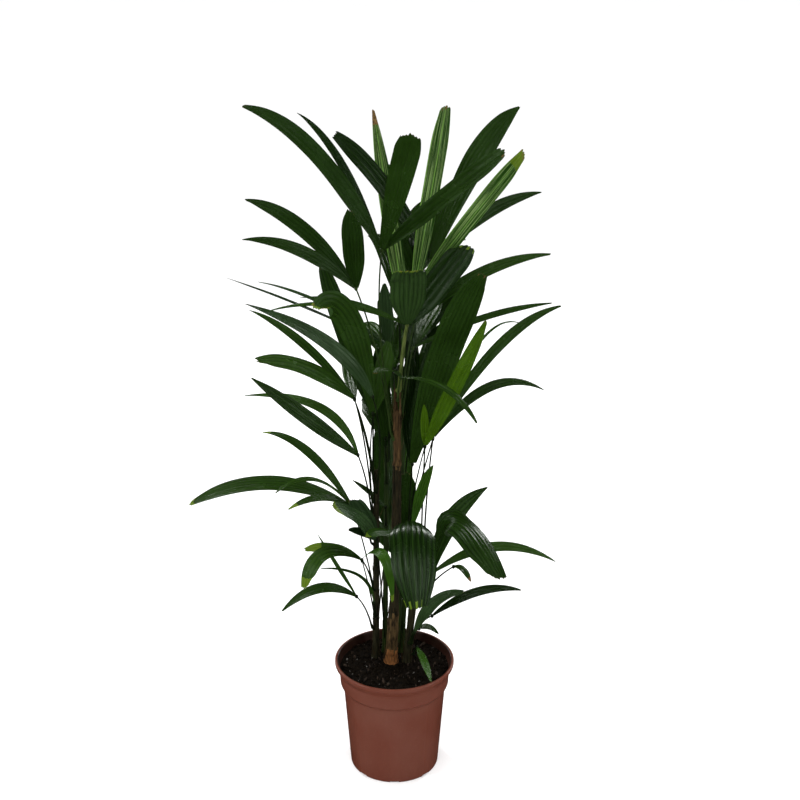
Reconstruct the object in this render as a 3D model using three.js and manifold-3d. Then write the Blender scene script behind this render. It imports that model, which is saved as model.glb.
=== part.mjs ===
// A potted lady palm: a clump of slim canes in a nursery pot, each cane carrying fan-shaped fronds
// on thin stalks. Millimetres, +Z up, origin at the middle of the pot's underside, -Y to the front.
import * as THREE from 'three';
import { mergeVertices } from 'three/addons/utils/BufferGeometryUtils.js';
import Module from 'manifold-3d';

const wasm = await Module();
wasm.setup();

// Driving dimensions of the whole
const GAP = 0.3; // clearance left between two pieces that meet
const SOIL_LEVEL = 190;

// The pot: a 21 cm nursery pot with a rolled rim, a collar and notches round its foot
const POT = {
  height: 205,
  rimRadius: 105,
  rimDepth: 9,
  collarRadius: 97,
  collarTop: 186,
  collarFootRadius: 95.5,
  collarFoot: 161,
  bodyRadius: 90,
  bodyTop: 155,
  footRadius: 78.4,
  footRound: 9,
  wall: 2.5,
  floor: 5,
  sides: 48,
};
const NOTCH = { count: 8, width: 16, height: 2.6, depth: 11 };

// The canes: place of the foot and of the top (x, y, z), radius at the foot and at the top,
// and how far the middle bows out (x, y)
const CANES = {
  main: { foot: [-6, 13], top: [4, -5, 712], radii: [9.2, 7.2], bow: [4, -12] },
  left: { foot: [-33, 30], top: [-30, 5, 563], radii: [8.2, 6], bow: [0, -4] },
  right: { foot: [22, 14], top: [48, 5, 440], radii: [8.4, 5.5], bow: [-2, -4] },
  left_inner: { foot: [-17, 48], top: [-13, 44, 590], radii: [6.6, 5], bow: [0, 2] },
  middle_right: { foot: [12, 47], top: [22, 30, 450], radii: [6.4, 5], bow: [2, 2] },
  back: { foot: [6, 82], top: [14, 92, 700], radii: [7.6, 6], bow: [2, 4] },
};
const CANE_SIDES = 8;
const CANE_FLARE = 1.35; // the foot's radius against the cane's, over the first stretch
const FLARE_HEIGHT = 28;
const SHEATH_SWELL = 1.07; // a sheath's mouth against the cane above it
const SHEATH_STEP = 62; // usual distance between two sheath mouths

// The stalk of a frond
const STALK = { footRadius: 2.1, tipRadius: 1.6, sides: 5, rings: 5, rise: 0.6, outward: 0.3 };
const HUB_RADIUS = 5.5;

// A leaflet's half width along its length, as shares of its widest: narrow root, blunt tip
const ROOT_SHARE = 0.22;
const WIDEST_FROM = 0.42;
const CLOSING_FROM = 0.4; // a pointed tip starts to narrow here, a blunt one later
const CLOSING_DELAY = 0.6;
const LEAFLET_STATIONS = [0, 0.12, 0.32, 0.58, 0.82, 1];
const THICKNESS_SHARE = 0.011; // thickness against length
const LEAST_THICKNESS = 2.2;
const FOLD = 0.1; // how far the edges rise above the midrib, against the half width

// Leaflets keep this far from the stalks, canes and leaflets of other fronds
const CLEAR = 4;
const SWING_STEP = 4; // degrees that a leaflet is swung out of its blade when it would touch
const SWING_TRIES = 15;
const SAMPLE_STEP = 8; // distance between the points at which two pieces are compared
const STALK_STEP = 6; // how far a stalk is bowed aside at each try
const STALK_TRIES = 12;
const STALK_ROOT = 5; // points of a stalk that aren't compared with its own cane
const ROD_STEPS = 16; // pieces in which a cane's or stalk's middle line is taken

// The fronds that face the front and the sides. from: height on the cane where the stalk leaves;
// hub: the point where the leaflets meet; face: azimuth and elevation of the blade's upper side.
// Each leaflet: spread from the blade's upright line, length, width, lift out of the blade, arch
// (rise of its middle above the straight line, against the length), width left at the tip (as a
// share of the widest), crest (where the arch pulls, against the length; half way when left out).
// Degrees and millimetres.
const FRONDS = [
  { name: 'frond_crown_left', cane: 'main', from: 640, hub: [-20, 20, 935], face: [-95, 25],
    leaflets: [[-47, 315, 24, 10, 0.15, 0.12], [-33, 290, 16, -11, 0.12, 0.05],
      [21, 235, 45, 53, 0, 0.45], [56, 260, 28, 28, 0.01, 0.6], [-19, 220, 26, -25, 0.05, 0.3]] },
  { name: 'frond_crown_right', cane: 'main', from: 665, hub: [60, 90, 900], face: [-80, 15],
    leaflets: [[-37, 260, 28, 8, 0.08, 0.5], [-6, 235, 35, -33, 0.05, 0.3],
      [32, 280, 41, 12, 0.13, 0.25], [62, 225, 22, -8, 0.1, 0.3], [26, 210, 35, -37, 0.1, 0.3]] },
  { name: 'frond_striped', cane: 'main', from: 690, hub: [30, 35, 855], face: [-85, 15],
    leaflets: [[11, 305, 30, 9, 0, 0.6], [36, 310, 28, 31, 0.02, 0.55]] },
  { name: 'frond_front', cane: 'main', from: 705, hub: [20, -30, 825], face: [-90, 35],
    leaflets: [[-79, 175, 8, 13, 0.08, 0.05], [-81, 240, 8, -11, 0.1, 0.05],
      [-9, 405, 21, -6, 0, 0.15], [3, 195, 54, 85, 0.05, 0.7], [41, 140, 29, 23, 0.02, 0.6],
      [64, 255, 20, 5, 0.1, 0.25]] },
  { name: 'frond_far_right', cane: 'main', from: 600, hub: [30, 40, 765], face: [-70, 50],
    leaflets: [[85, 250, 13, 14, 0.06, 0.2], [39, 180, 27, -21, 0.05, 0.3],
      [-2, 100, 28, 20, 0.05, 0.3]] },
  { name: 'frond_left_high', cane: 'main', from: 620, hub: [-60, -30, 885], face: [-110, 35],
    leaflets: [[-87, 200, 21, 46, 0.12, 0.2], [-62, 220, 25, 28, 0.13, 0.15],
      [6, 140, 41, 53, 0.03, 0.35], [-26, 180, 24, -31, 0.05, 0.3]] },
  { name: 'frond_threads', cane: 'left_inner', from: 560, hub: [-10, 40, 770], face: [-110, 50],
    leaflets: [[-92, 285, 6, 34, 0.02, 0.05], [-81, 240, 7, 23, 0.07, 0.05],
      [-1, 110, 23, 58, 0, 0.3]] },
  { name: 'frond_folded', cane: 'left', from: 540, hub: [-35, 0, 665], face: [-95, 15],
    leaflets: [[-19, 260, 31, 9, 0, 0.5], [-24, 245, 43, 41, 0.34, 0.5, 0.38],
      [12, 125, 29, 18, 0, 0.4]] },
  { name: 'frond_split', cane: 'left', from: 520, hub: [-35, -30, 705], face: [-115, 50],
    leaflets: [[-89, 270, 22, 58, 0.17, 0.05, 0.21]] },
  { name: 'frond_blunt', cane: 'left', from: 500, hub: [-65, -10, 695], face: [-115, 50],
    leaflets: [[-107, 185, 30, 51, 0.11, 0.55], [-70, 225, 13, 34, 0.08, 0.05],
      [-35, 290, 29, -30, 0, 0.4]] },
  { name: 'frond_middle', cane: 'left_inner', from: 520, hub: [-15, 15, 615], face: [-100, 20],
    leaflets: [[-16, 150, 30, 15, 0, 0.4], [-5, 160, 30, 16, 0, 0.4],
      [-45, 110, 28, -40, 0.1, 0.4]] },
  { name: 'frond_left_middle', cane: 'left', from: 470, hub: [-60, -20, 600], face: [-120, 50],
    leaflets: [[-93, 210, 36, 63, 0.03, 0.4], [-82, 225, 16, 18, 0.19, 0.1, 0.17]] },
  { name: 'frond_left_long', cane: 'left', from: 420, hub: [-70, -10, 500], face: [-115, 60],
    leaflets: [[-118, 270, 35, 21, 0.17, 0.2], [-150, 185, 13, 53, 0.2, 0.2],
      [-143, 130, 15, 39, 0.15, 0.2], [-74, 200, 16, 31, 0.15, 0.1]] },
  { name: 'frond_left_low', cane: 'left', from: 380, hub: [-30, -15, 445], face: [-110, 50],
    leaflets: [[-113, 145, 43, 74, 0.1, 0.6], [-121, 70, 17, 55, 0.05, 0.3],
      [-50, 95, 30, 61, 0.05, 0.4]] },
  { name: 'frond_left_droop', cane: 'left', from: 330, hub: [-55, -25, 410], face: [-100, 60],
    leaflets: [[-139, 125, 26, 19, 0.35, 0.3, 0.81], [-95, 100, 18, 20, 0.14, 0.5],
      [148, 135, 15, 20, 0.6, 0.2, 0.96]] },
  { name: 'frond_left_lowest', cane: 'left', from: 250, hub: [-65, -15, 335], face: [-110, 60],
    leaflets: [[-129, 135, 21, 20, 0.19, 0.15], [-50, 130, 7, 32, 0, 0.05]] },
  { name: 'frond_thin', cane: 'left', from: 275, hub: [-35, -20, 325], face: [-110, 60],
    leaflets: [[-98, 125, 7, 54, 0.27, 0.2, 0.04]] },
  { name: 'frond_great', cane: 'middle_right', from: 420, hub: [30, 0, 575], face: [-75, 15],
    leaflets: [[14, 375, 52, 32, 0.11, 0.35], [14, 225, 38, 2, 0, 0.3], [5, 190, 35, -8, 0, 0.3]] },
  { name: 'frond_lime', cane: 'right', from: 408, hub: [50, -30, 620], face: [-70, 20],
    leaflets: [[16, 270, 30, 44, 0, 0.2], [-3, 75, 14, 23, 0, 0.2]] },
  { name: 'frond_arching', cane: 'right', from: 425, hub: [65, 30, 610], face: [-60, 40],
    leaflets: [[57, 310, 16, 50, 0.14, 0.2], [84, 210, 17, 21, 0.25, 0.1],
      [53, 260, 10, 16, 0.24, 0.05]] },
  { name: 'frond_tassel', cane: 'main', from: 690, hub: [10, -50, 745], face: [-90, 70],
    leaflets: [[134, 160, 12, 0, 0.16, 0.3, 0.66], [-151, 105, 25, 38, 0.1, 0.3]] },
  { name: 'frond_apron', cane: 'right', from: 330, hub: [30, -45, 485], face: [-80, 60],
    leaflets: [[-171, 165, 61, 4, 0.33, 0.5]] },
  { name: 'frond_wing', cane: 'right', from: 340, hub: [65, -5, 375], face: [-60, 45],
    leaflets: [[49, 175, 31, 34, 0.26, 0.3, 0.16], [160, 175, 51, 61, 0.69, 0.35, 0.1],
      [104, 220, 18, 14, 0.2, 0.1]] },
  { name: 'frond_bud', cane: 'right', from: 300, hub: [100, -30, 400], face: [-60, 60],
    leaflets: [[160, 40, 13, 3, 0.25, 0.3]] },
  { name: 'frond_right_low', cane: 'right', from: 230, hub: [35, -15, 265], face: [-60, 50],
    leaflets: [[86, 145, 21, 72, 0.23, 0.3, 0.3]] },
  { name: 'frond_right_lowest', cane: 'right', from: 250, hub: [65, -20, 300], face: [-60, 60],
    leaflets: [[107, 160, 18, 30, 0.12, 0.2]] },
  { name: 'frond_spear', cane: 'main', from: 400, hub: [30, -20, 470], face: [-90, 20],
    leaflets: [[18, 140, 21, 38, 0.1, 0.08]] },
  { name: 'frond_dark_left', cane: 'left_inner', from: 350, hub: [-15, 75, 385], face: [-90, 10],
    leaflets: [[-4, 215, 23, 4, 0, 0.4], [3, 195, 23, -15, 0, 0.4]] },
  { name: 'frond_dark_right', cane: 'middle_right', from: 340, hub: [20, 55, 410], face: [-90, 10],
    leaflets: [[-1, 130, 38, 13, 0, 0.6]] },
  { name: 'frond_slip', cane: 'left_inner', from: 440, hub: [-15, 25, 485], face: [-110, 50],
    leaflets: [[-71, 75, 9, 40, 0.05, 0.1]] },
  { name: 'frond_rim', cane: 'middle_right', from: 215, hub: [45, 75, 220], face: [-60, 60],
    leaflets: [[104, 50, 14, -27, 0.3, 0.2]] },
  { name: 'frond_seedling', cane: 'right', from: 203, hub: [40, 10, 220], face: [-60, 60],
    leaflets: [[-159, 110, 16, 27, 0.12, 0.2]] },
  { name: 'frond_small', cane: 'main', from: 400, hub: [0, -35, 460], face: [-100, 60],
    leaflets: [[-136, 75, 20, 42, 0.1, 0.3]] },
];

// The fronds behind, which the front hides. Each level: height of the hub, heading from the clump's
// middle, distance of the hub, height on the cane, how far the leaflets fan out to each side, their length.
// Degrees and millimetres; the rest is dealt out by a rule with a fixed seed.
const BEHIND = {
  seed: 5,
  middle: [8, 50],
  face: [50, 76],
  leaflets: 5,
  width: [24, 32],
  lift: [-9, 9],
  arch: [0.07, 0.19],
  tipShare: 0.3,
  lengthSpread: 0.12,
  shorterAtTheSides: 0.42,
  cane: 'back',
  levels: [
    { height: 345, heading: 98, distance: 80, from: 205, fan: 32, length: 165 },
    { height: 430, heading: 80, distance: 100, from: 265, fan: 28, length: 190 },
    { height: 492, heading: 102, distance: 85, from: 330, fan: 30, length: 180 },
    { height: 562, heading: 84, distance: 115, from: 390, fan: 28, length: 205 },
    { height: 618, heading: 74, distance: 95, from: 455, fan: 30, length: 185 },
    { height: 690, heading: 96, distance: 110, from: 520, fan: 30, length: 215 },
    { height: 742, heading: 70, distance: 90, from: 575, fan: 30, length: 195 },
    { height: 808, heading: 90, distance: 95, from: 622, fan: 30, length: 220 },
    { height: 862, heading: 72, distance: 75, from: 655, fan: 34, length: 200 },
    { height: 910, heading: 94, distance: 62, from: 682, fan: 34, length: 215 },
  ],
};

// Leaflets that the plant has lost, by frond and their place in its row, counted from 0. The others
// stay where they stood beside them.
const LOST = {
  frond_crown_left: [4],
  frond_crown_right: [1],
  frond_behind_1: [1],
  frond_behind_2: [2, 3, 4],
  frond_behind_3: [0, 1],
  frond_behind_8: [0],
  frond_behind_9: [3],
  frond_behind_10: [0, 1, 3],
};

// Small vector helpers on plain arrays
const add = (a, b, k = 1) => [a[0] + b[0] * k, a[1] + b[1] * k, a[2] + b[2] * k];
const dot = (a, b) => a[0] * b[0] + a[1] * b[1] + a[2] * b[2];
const cross = (a, b) => [
  a[1] * b[2] - a[2] * b[1],
  a[2] * b[0] - a[0] * b[2],
  a[0] * b[1] - a[1] * b[0],
];
const unit = (a) => add([0, 0, 0], a, 1 / Math.hypot(...a));
const radians = (degrees) => (degrees * Math.PI) / 180;

// A point of the curve that leaves `start`, is drawn towards `control` and ends in `end`
function curvePoint(start, control, end, t) {
  const point = [0, 0, 0];
  for (let i = 0; i < 3; i += 1) {
    point[i] = (1 - t) ** 2 * start[i] + 2 * t * (1 - t) * control[i] + t * t * end[i];
  }
  return point;
}

function curveDirection(start, control, end, t) {
  const first = add(control, start, -1);
  const last = add(end, control, -1);
  return unit(add(add([0, 0, 0], first, 1 - t), last, t));
}

// A closed skin over rings of points that all have the same count
function skin(rings) {
  const count = rings[0].length;
  const positions = rings.flat(2);
  const faces = [];
  for (let r = 0; r + 1 < rings.length; r += 1) {
    for (let i = 0; i < count; i += 1) {
      const a = r * count + i;
      const b = r * count + ((i + 1) % count);
      faces.push(a, b, b + count, a, b + count, a + count);
    }
  }
  const last = (rings.length - 1) * count;
  for (let i = 1; i + 1 < count; i += 1) {
    faces.push(0, i + 1, i, last, last + i, last + i + 1);
  }
  const geometry = new THREE.BufferGeometry();
  geometry.setAttribute('position', new THREE.Float32BufferAttribute(positions, 3));
  geometry.setIndex(faces);
  return geometry;
}

function solidOf(geometry) {
  const bare = geometry.clone();
  bare.deleteAttribute('normal');
  bare.deleteAttribute('uv');
  const merged = mergeVertices(bare, 1e-3);
  return new wasm.Manifold(new wasm.Mesh({
    numProp: 3,
    vertProperties: merged.attributes.position.array,
    triVerts: new Uint32Array(merged.index.array),
  }));
}

function geometryOf(solid) {
  const mesh = solid.getMesh();
  const geometry = new THREE.BufferGeometry();
  geometry.setAttribute('position', new THREE.BufferAttribute(mesh.vertProperties, 3));
  geometry.setIndex(new THREE.BufferAttribute(mesh.triVerts, 1));
  return geometry;
}

function joined(solids) {
  return solids.reduce((whole, solid) => whole.add(solid));
}

const material = (color, roughness) => new THREE.MeshStandardMaterial({ color, roughness, metalness: 0 });
const MATERIALS = {
  pot: material('#704030', 0.45),
  soil: material('#14120f', 1),
  cane: material('#3c281c', 0.85),
  frond: material('#23401a', 0.5),
};

function named(name, geometry, kind) {
  const mesh = new THREE.Mesh(geometry, MATERIALS[kind]);
  mesh.name = name;
  return mesh;
}

// The pot's outer outline from the foot's edge to the rim, as radius and height
function potOutline() {
  const { footRound: r } = POT;
  const foot = [];
  for (let k = 0; k <= 3; k += 1) {
    const turn = radians(30 * k);
    foot.push([POT.footRadius - r * 0.7 + r * 0.7 * Math.sin(turn), r - r * Math.cos(turn)]);
  }
  return [
    ...foot,
    [POT.bodyRadius, POT.bodyTop],
    [POT.collarFootRadius, POT.collarFoot],
    [POT.collarRadius, POT.collarTop],
    [POT.rimRadius - 1.5, POT.height - POT.rimDepth],
    [POT.rimRadius, POT.height - POT.rimDepth * 0.6],
    [POT.rimRadius, POT.height - 1.5],
    [POT.rimRadius - 1.5, POT.height],
  ];
}

function potInnerOutline() {
  return [
    [POT.rimRadius - 5, POT.height],
    [POT.rimRadius - 6, POT.height - 3],
    [POT.collarRadius - POT.wall, POT.collarTop],
    [POT.bodyRadius - POT.wall, POT.bodyTop],
    [POT.footRadius - POT.wall, POT.floor],
  ];
}

function lathe(outline) {
  return new THREE.LatheGeometry(outline.map(([r, z]) => new THREE.Vector2(r, z)), POT.sides)
    .rotateX(Math.PI / 2);
}

function makePot() {
  let pot = solidOf(lathe([[0, 0], ...potOutline(), ...potInnerOutline(), [0, POT.floor]]));
  for (let k = 0; k < NOTCH.count; k += 1) {
    const box = new THREE.BoxGeometry(NOTCH.width, NOTCH.depth * 2, NOTCH.height * 2);
    box.translate(0, -POT.footRadius, 0);
    box.rotateZ(radians((360 / NOTCH.count) * k));
    pot = pot.subtract(solidOf(box));
  }
  return named('pot', geometryOf(pot), 'pot');
}

function makeSoil() {
  const inside = potInnerOutline().filter(([, z]) => z < SOIL_LEVEL).reverse();
  const outline = inside.map(([r, z]) => [r - GAP, z]);
  outline[0][1] += GAP;
  const [lastRadius, lastZ] = outline[outline.length - 1];
  const slope = (POT.rimRadius - 6 - lastRadius) / (POT.height - 3 - lastZ);
  const edge = lastRadius + slope * (SOIL_LEVEL - lastZ) - GAP;
  const whole = [[0, POT.floor + GAP], ...outline, [edge, SOIL_LEVEL], [0, SOIL_LEVEL]];
  return named('soil', lathe(whole), 'soil');
}

// A cane's centre and radius at a height
function caneAt(cane, z) {
  const foot = [...cane.foot, SOIL_LEVEL + GAP];
  const t = (z - foot[2]) / (cane.top[2] - foot[2]);
  const sag = 4 * t * (1 - t);
  return [
    foot[0] + (cane.top[0] - foot[0]) * t + cane.bow[0] * sag,
    foot[1] + (cane.top[1] - foot[1]) * t + cane.bow[1] * sag,
    z,
  ];
}

function sheathMouths(name) {
  const cane = CANES[name];
  const mouths = allFronds.filter((frond) => frond.cane === name).map((frond) => frond.from);
  for (let z = SOIL_LEVEL + SHEATH_STEP; z < cane.top[2] - SHEATH_STEP / 2; z += SHEATH_STEP) {
    if (mouths.every((mouth) => Math.abs(mouth - z) > SHEATH_STEP / 2)) mouths.push(z);
  }
  return mouths.sort((a, b) => a - b).filter((z, i, all) => i === 0 || z - all[i - 1] > 6);
}

// Radius and height of each ring of a cane, from the flat cut at the soil to the tip
function caneRings(name) {
  const cane = CANES[name];
  const base = SOIL_LEVEL + GAP;
  const plain = (z) => {
    const t = (z - base) / (cane.top[2] - base);
    return cane.radii[0] + (cane.radii[1] - cane.radii[0]) * t;
  };
  const rings = [
    [cane.radii[0] * CANE_FLARE, base],
    [cane.radii[0] * 1.08, base + FLARE_HEIGHT * 0.4],
    [plain(base + FLARE_HEIGHT), base + FLARE_HEIGHT],
  ];
  for (const z of sheathMouths(name)) {
    if (z > base + FLARE_HEIGHT + 5) {
      rings.push([plain(z) * SHEATH_SWELL, z - 1], [plain(z), z + 1]);
    }
  }
  rings.push([cane.radii[1] * 0.9, cane.top[2] - 6], [cane.radii[1] * 0.45, cane.top[2]]);
  return rings;
}

function makeCane(name) {
  const rings = caneRings(name).map(([radius, z]) => {
    const centre = caneAt(CANES[name], z);
    const ring = [];
    for (let i = 0; i < CANE_SIDES; i += 1) {
      const turn = (2 * Math.PI * i) / CANE_SIDES;
      ring.push([centre[0] + radius * Math.cos(turn), centre[1] + radius * Math.sin(turn), z]);
    }
    return ring;
  });
  return named(`cane_${name}`, skin(rings), 'cane');
}

// How far a cane's skin lies from its centre at a height, in a direction
function caneReach(name, z, azimuth) {
  const rings = caneRings(name);
  let radius = rings[0][0];
  for (let i = 0; i + 1 < rings.length; i += 1) {
    const [lowRadius, lowZ] = rings[i];
    const [highRadius, highZ] = rings[i + 1];
    if (z >= lowZ && z <= highZ) {
      radius = lowRadius + ((highRadius - lowRadius) * (z - lowZ)) / (highZ - lowZ);
    }
  }
  const side = (2 * Math.PI) / CANE_SIDES;
  const within = ((azimuth % side) + side) % side;
  return (radius * Math.cos(side / 2)) / Math.cos(within - side / 2);
}

// The blade's own directions: out of its upper side, up along it, and to its right
function bladeFrame([azimuth, elevation]) {
  const a = radians(azimuth);
  const e = radians(elevation);
  const out = [Math.cos(e) * Math.cos(a), Math.cos(e) * Math.sin(a), Math.sin(e)];
  const up = [-Math.sin(e) * Math.cos(a), -Math.sin(e) * Math.sin(a), Math.cos(e)];
  return { out, up, right: cross(up, out) };
}

// A leaflet's place: its centre line, the blade direction across it, and its widths
function leafletPlan(frond, [spread, length, width, lift, arch, tipShare, crest = 0.5], swing = 0) {
  const { out, up, right } = bladeFrame(frond.face);
  const turn = radians(spread);
  const rise = radians(lift + swing);
  const along = add(add([0, 0, 0], up, Math.cos(turn)), right, Math.sin(turn));
  const direction = add(add([0, 0, 0], along, Math.cos(rise)), out, Math.sin(rise));
  const tip = add(frond.hub, direction, length);
  const control = add(frond.hub, direction, length * crest);
  control[2] += 2 * arch * length;
  return { hub: frond.hub, control, tip, out, width, length, tipShare };
}

function halfWidth(plan, t) {
  const opening = Math.sin((Math.PI / 2) * Math.min(1, t / WIDEST_FROM));
  const from = CLOSING_FROM + CLOSING_DELAY * plan.tipShare;
  const closing = Math.max(0, (t - from) / (1 - from));
  const share = ROOT_SHARE + (1 - ROOT_SHARE) * opening;
  return (plan.width / 2) * share * (1 - (1 - plan.tipShare) * closing * closing);
}

// Centre, half width and directions of a leaflet at a share of its length
function leafletStation(plan, t) {
  const centre = curvePoint(plan.hub, plan.control, plan.tip, t);
  const along = curveDirection(plan.hub, plan.control, plan.tip, t);
  const across = unit(cross(along, plan.out));
  return { centre, along, across, normal: cross(across, along), half: halfWidth(plan, t) };
}

function leafletSolid(plan) {
  const thick = Math.max(LEAST_THICKNESS, plan.length * THICKNESS_SHARE);
  const rings = LEAFLET_STATIONS.map((t) => {
    const { centre, across, normal, half } = leafletStation(plan, t);
    const edge = half * FOLD;
    return [
      add(add(centre, across, -half), normal, edge),
      add(centre, normal, thick / 2),
      add(add(centre, across, half), normal, edge),
      add(centre, normal, -thick / 2),
    ];
  });
  return solidOf(skin(rings));
}

// The stalk leaves the cane's skin and is drawn upwards before it leans out to the hub
function stalkPlan(frond, sideways = 0) {
  const cane = CANES[frond.cane];
  const height = frond.from + 3;
  const centre = caneAt(cane, height);
  const azimuth = Math.atan2(frond.hub[1] - centre[1], frond.hub[0] - centre[0]);
  const reach = caneReach(frond.cane, height, azimuth) + STALK.footRadius + GAP;
  const outward = [Math.cos(azimuth), Math.sin(azimuth), 0];
  const start = add(centre, outward, reach);
  const way = add(frond.hub, start, -1);
  const control = add(start, [way[0] * STALK.outward, way[1] * STALK.outward, way[2] * STALK.rise]);
  const aside = [-outward[1], outward[0], 0];
  return { name: frond.name, start, control: add(control, aside, sideways), end: frond.hub, azimuth };
}

function stalkSolid(plan) {
  const rings = [];
  for (let k = 0; k < STALK.rings; k += 1) {
    const t = k / (STALK.rings - 1);
    const centre = curvePoint(plan.start, plan.control, plan.end, t);
    const radius = STALK.footRadius + (STALK.tipRadius - STALK.footRadius) * t;
    const ring = [];
    for (let i = 0; i < STALK.sides; i += 1) {
      const turn = plan.azimuth + Math.PI + (2 * Math.PI * i) / STALK.sides;
      ring.push([centre[0] + radius * Math.cos(turn), centre[1] + radius * Math.sin(turn), centre[2]]);
    }
    rings.push(ring);
  }
  return solidOf(skin(rings));
}

// A fixed-seed source of numbers from 0 to 1
function randomSource(seed) {
  let state = seed;
  return () => {
    state = (state + 0x6d2b79f5) | 0;
    let mixed = Math.imul(state ^ (state >>> 15), 1 | state);
    mixed = (mixed + Math.imul(mixed ^ (mixed >>> 7), 61 | mixed)) ^ mixed;
    return ((mixed ^ (mixed >>> 14)) >>> 0) / 4294967296;
  };
}

function frondsBehind() {
  const random = randomSource(BEHIND.seed);
  const between = ([low, high]) => low + (high - low) * random();
  return BEHIND.levels.map((level, k) => {
    const turn = radians(level.heading);
    const x = BEHIND.middle[0] + level.distance * Math.cos(turn);
    const y = BEHIND.middle[1] + level.distance * Math.sin(turn);
    const leaflets = [];
    for (let i = 0; i < BEHIND.leaflets; i += 1) {
      const share = (2 * i) / (BEHIND.leaflets - 1) - 1;
      const shorter = BEHIND.shorterAtTheSides * share * share;
      const length = level.length * (1 + BEHIND.lengthSpread * random() - shorter);
      const width = between(BEHIND.width);
      const lift = between(BEHIND.lift);
      leaflets.push([share * level.fan, length, width, lift, between(BEHIND.arch), BEHIND.tipShare]);
    }
    return {
      name: `frond_behind_${k + 1}`,
      cane: BEHIND.cane,
      from: level.from,
      hub: [x, y, level.height],
      face: [level.heading + 180, between(BEHIND.face)],
      leaflets,
    };
  });
}

const allFronds = [...FRONDS, ...frondsBehind()];

// The flat facets between a leaflet's stations, for telling what would touch it
function leafletSheet(plan) {
  const strip = LEAFLET_STATIONS.map((t) => leafletStation(plan, t));
  const points = [];
  for (let k = 0; k + 1 < strip.length; k += 1) {
    const low = strip[k];
    const high = strip[k + 1];
    const count = Math.ceil(Math.hypot(...add(high.centre, low.centre, -1)) / SAMPLE_STEP);
    for (let i = 0; i <= count; i += 1) {
      for (const side of [-1, 0, 1]) {
        const from = add(low.centre, low.across, side * low.half);
        const to = add(high.centre, high.across, side * high.half);
        points.push(curvePoint(from, add(from, add(to, from, -1), 0.5), to, i / count));
      }
    }
  }
  return { strip, points, box: boxAround(points) };
}

function boxAround(points) {
  const low = [0, 1, 2].map((i) => Math.min(...points.map((point) => point[i])) - CLEAR);
  const high = [0, 1, 2].map((i) => Math.max(...points.map((point) => point[i])) + CLEAR);
  return { low, high };
}

const inBox = (point, { low, high }) => point.every((value, i) => value > low[i] && value < high[i]);

function nearSheet(point, { strip }, margin) {
  return strip.slice(1).some((next, k) => {
    const { centre, across, normal, half } = strip[k];
    const step = add(next.centre, centre, -1);
    const way = add(point, centre, -1);
    const share = dot(way, step) / dot(step, step);
    const off = add(way, step, -share);
    const between = half + (next.half - half) * Math.min(1, Math.max(0, share));
    const room = between * (1 + FOLD) + margin;
    return share > -0.1 && share < 1.1 && Math.abs(dot(off, across)) < room
      && Math.abs(dot(off, normal)) < margin + half * FOLD;
  });
}

const pointsTouch = (points, sheet) => points.some((point) => (
  inBox(point, sheet.box) && nearSheet(point, sheet, CLEAR)));

const sheetsTouch = (a, b) => pointsTouch(a.points, b) || pointsTouch(b.points, a);

const rodTouches = (rod, sheet) => rod.points.some((point) => (
  nearSheet(point, sheet, rod.radius + CLEAR / 2)));

// A round rod as points along its middle
function rodOf(corners, radius, name) {
  const points = [];
  for (let k = 0; k + 1 < corners.length; k += 1) {
    const count = Math.ceil(Math.hypot(...add(corners[k + 1], corners[k], -1)) / SAMPLE_STEP);
    const step = add(corners[k + 1], corners[k], -1);
    for (let i = 0; i < count; i += 1) points.push(add(corners[k], step, i / count));
  }
  return { points, radius, name };
}

const rodsTouch = (a, b, skip = 0) => a.points.slice(skip).some((point) => b.points.some((other) => (
  Math.hypot(...add(point, other, -1)) < a.radius + b.radius + GAP)));

function caneRod(name) {
  const cane = CANES[name];
  const corners = [];
  for (let k = 0; k <= ROD_STEPS; k += 1) {
    corners.push(caneAt(cane, SOIL_LEVEL + ((cane.top[2] - SOIL_LEVEL) * k) / ROD_STEPS));
  }
  return rodOf(corners, cane.radii[0] * SHEATH_SWELL, name);
}

function stalkRod(plan) {
  const corners = [];
  for (let k = 0; k <= ROD_STEPS; k += 1) {
    corners.push(curvePoint(plan.start, plan.control, plan.end, k / ROD_STEPS));
  }
  return rodOf(corners, STALK.footRadius, plan.name);
}

// 0, 1, -1, 2, -2, 3 and so on
const alternating = (n) => Math.ceil(n / 2) * (n % 2 ? 1 : -1);

// A stalk that would touch a cane or an earlier stalk is bowed to one side, then to the other
function placeStalk(frond, rods) {
  for (let n = 0; n < STALK_TRIES; n += 1) {
    const plan = stalkPlan(frond, STALK_STEP * alternating(n));
    const own = stalkRod(plan);
    if (!rods.some((rod) => rodsTouch(own, rod, rod.name === frond.cane ? STALK_ROOT : 0))) return plan;
  }
  return stalkPlan(frond);
}

// A leaflet that would touch is swung out of its blade, to one side, then to the other, and is
// left out where no swing clears it
function placeLeaflet(frond, leaflet, rods, sheets) {
  const others = rods.filter((rod) => rod.name !== frond.name);
  for (let n = 0; n < SWING_TRIES; n += 1) {
    const plan = leafletPlan(frond, leaflet, SWING_STEP * alternating(n));
    const sheet = leafletSheet(plan);
    const clear = !others.some((rod) => rodTouches(rod, sheet));
    if (clear && !sheets.some((other) => sheetsTouch(sheet, other))) return { plan, sheet };
  }
  return null;
}

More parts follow.
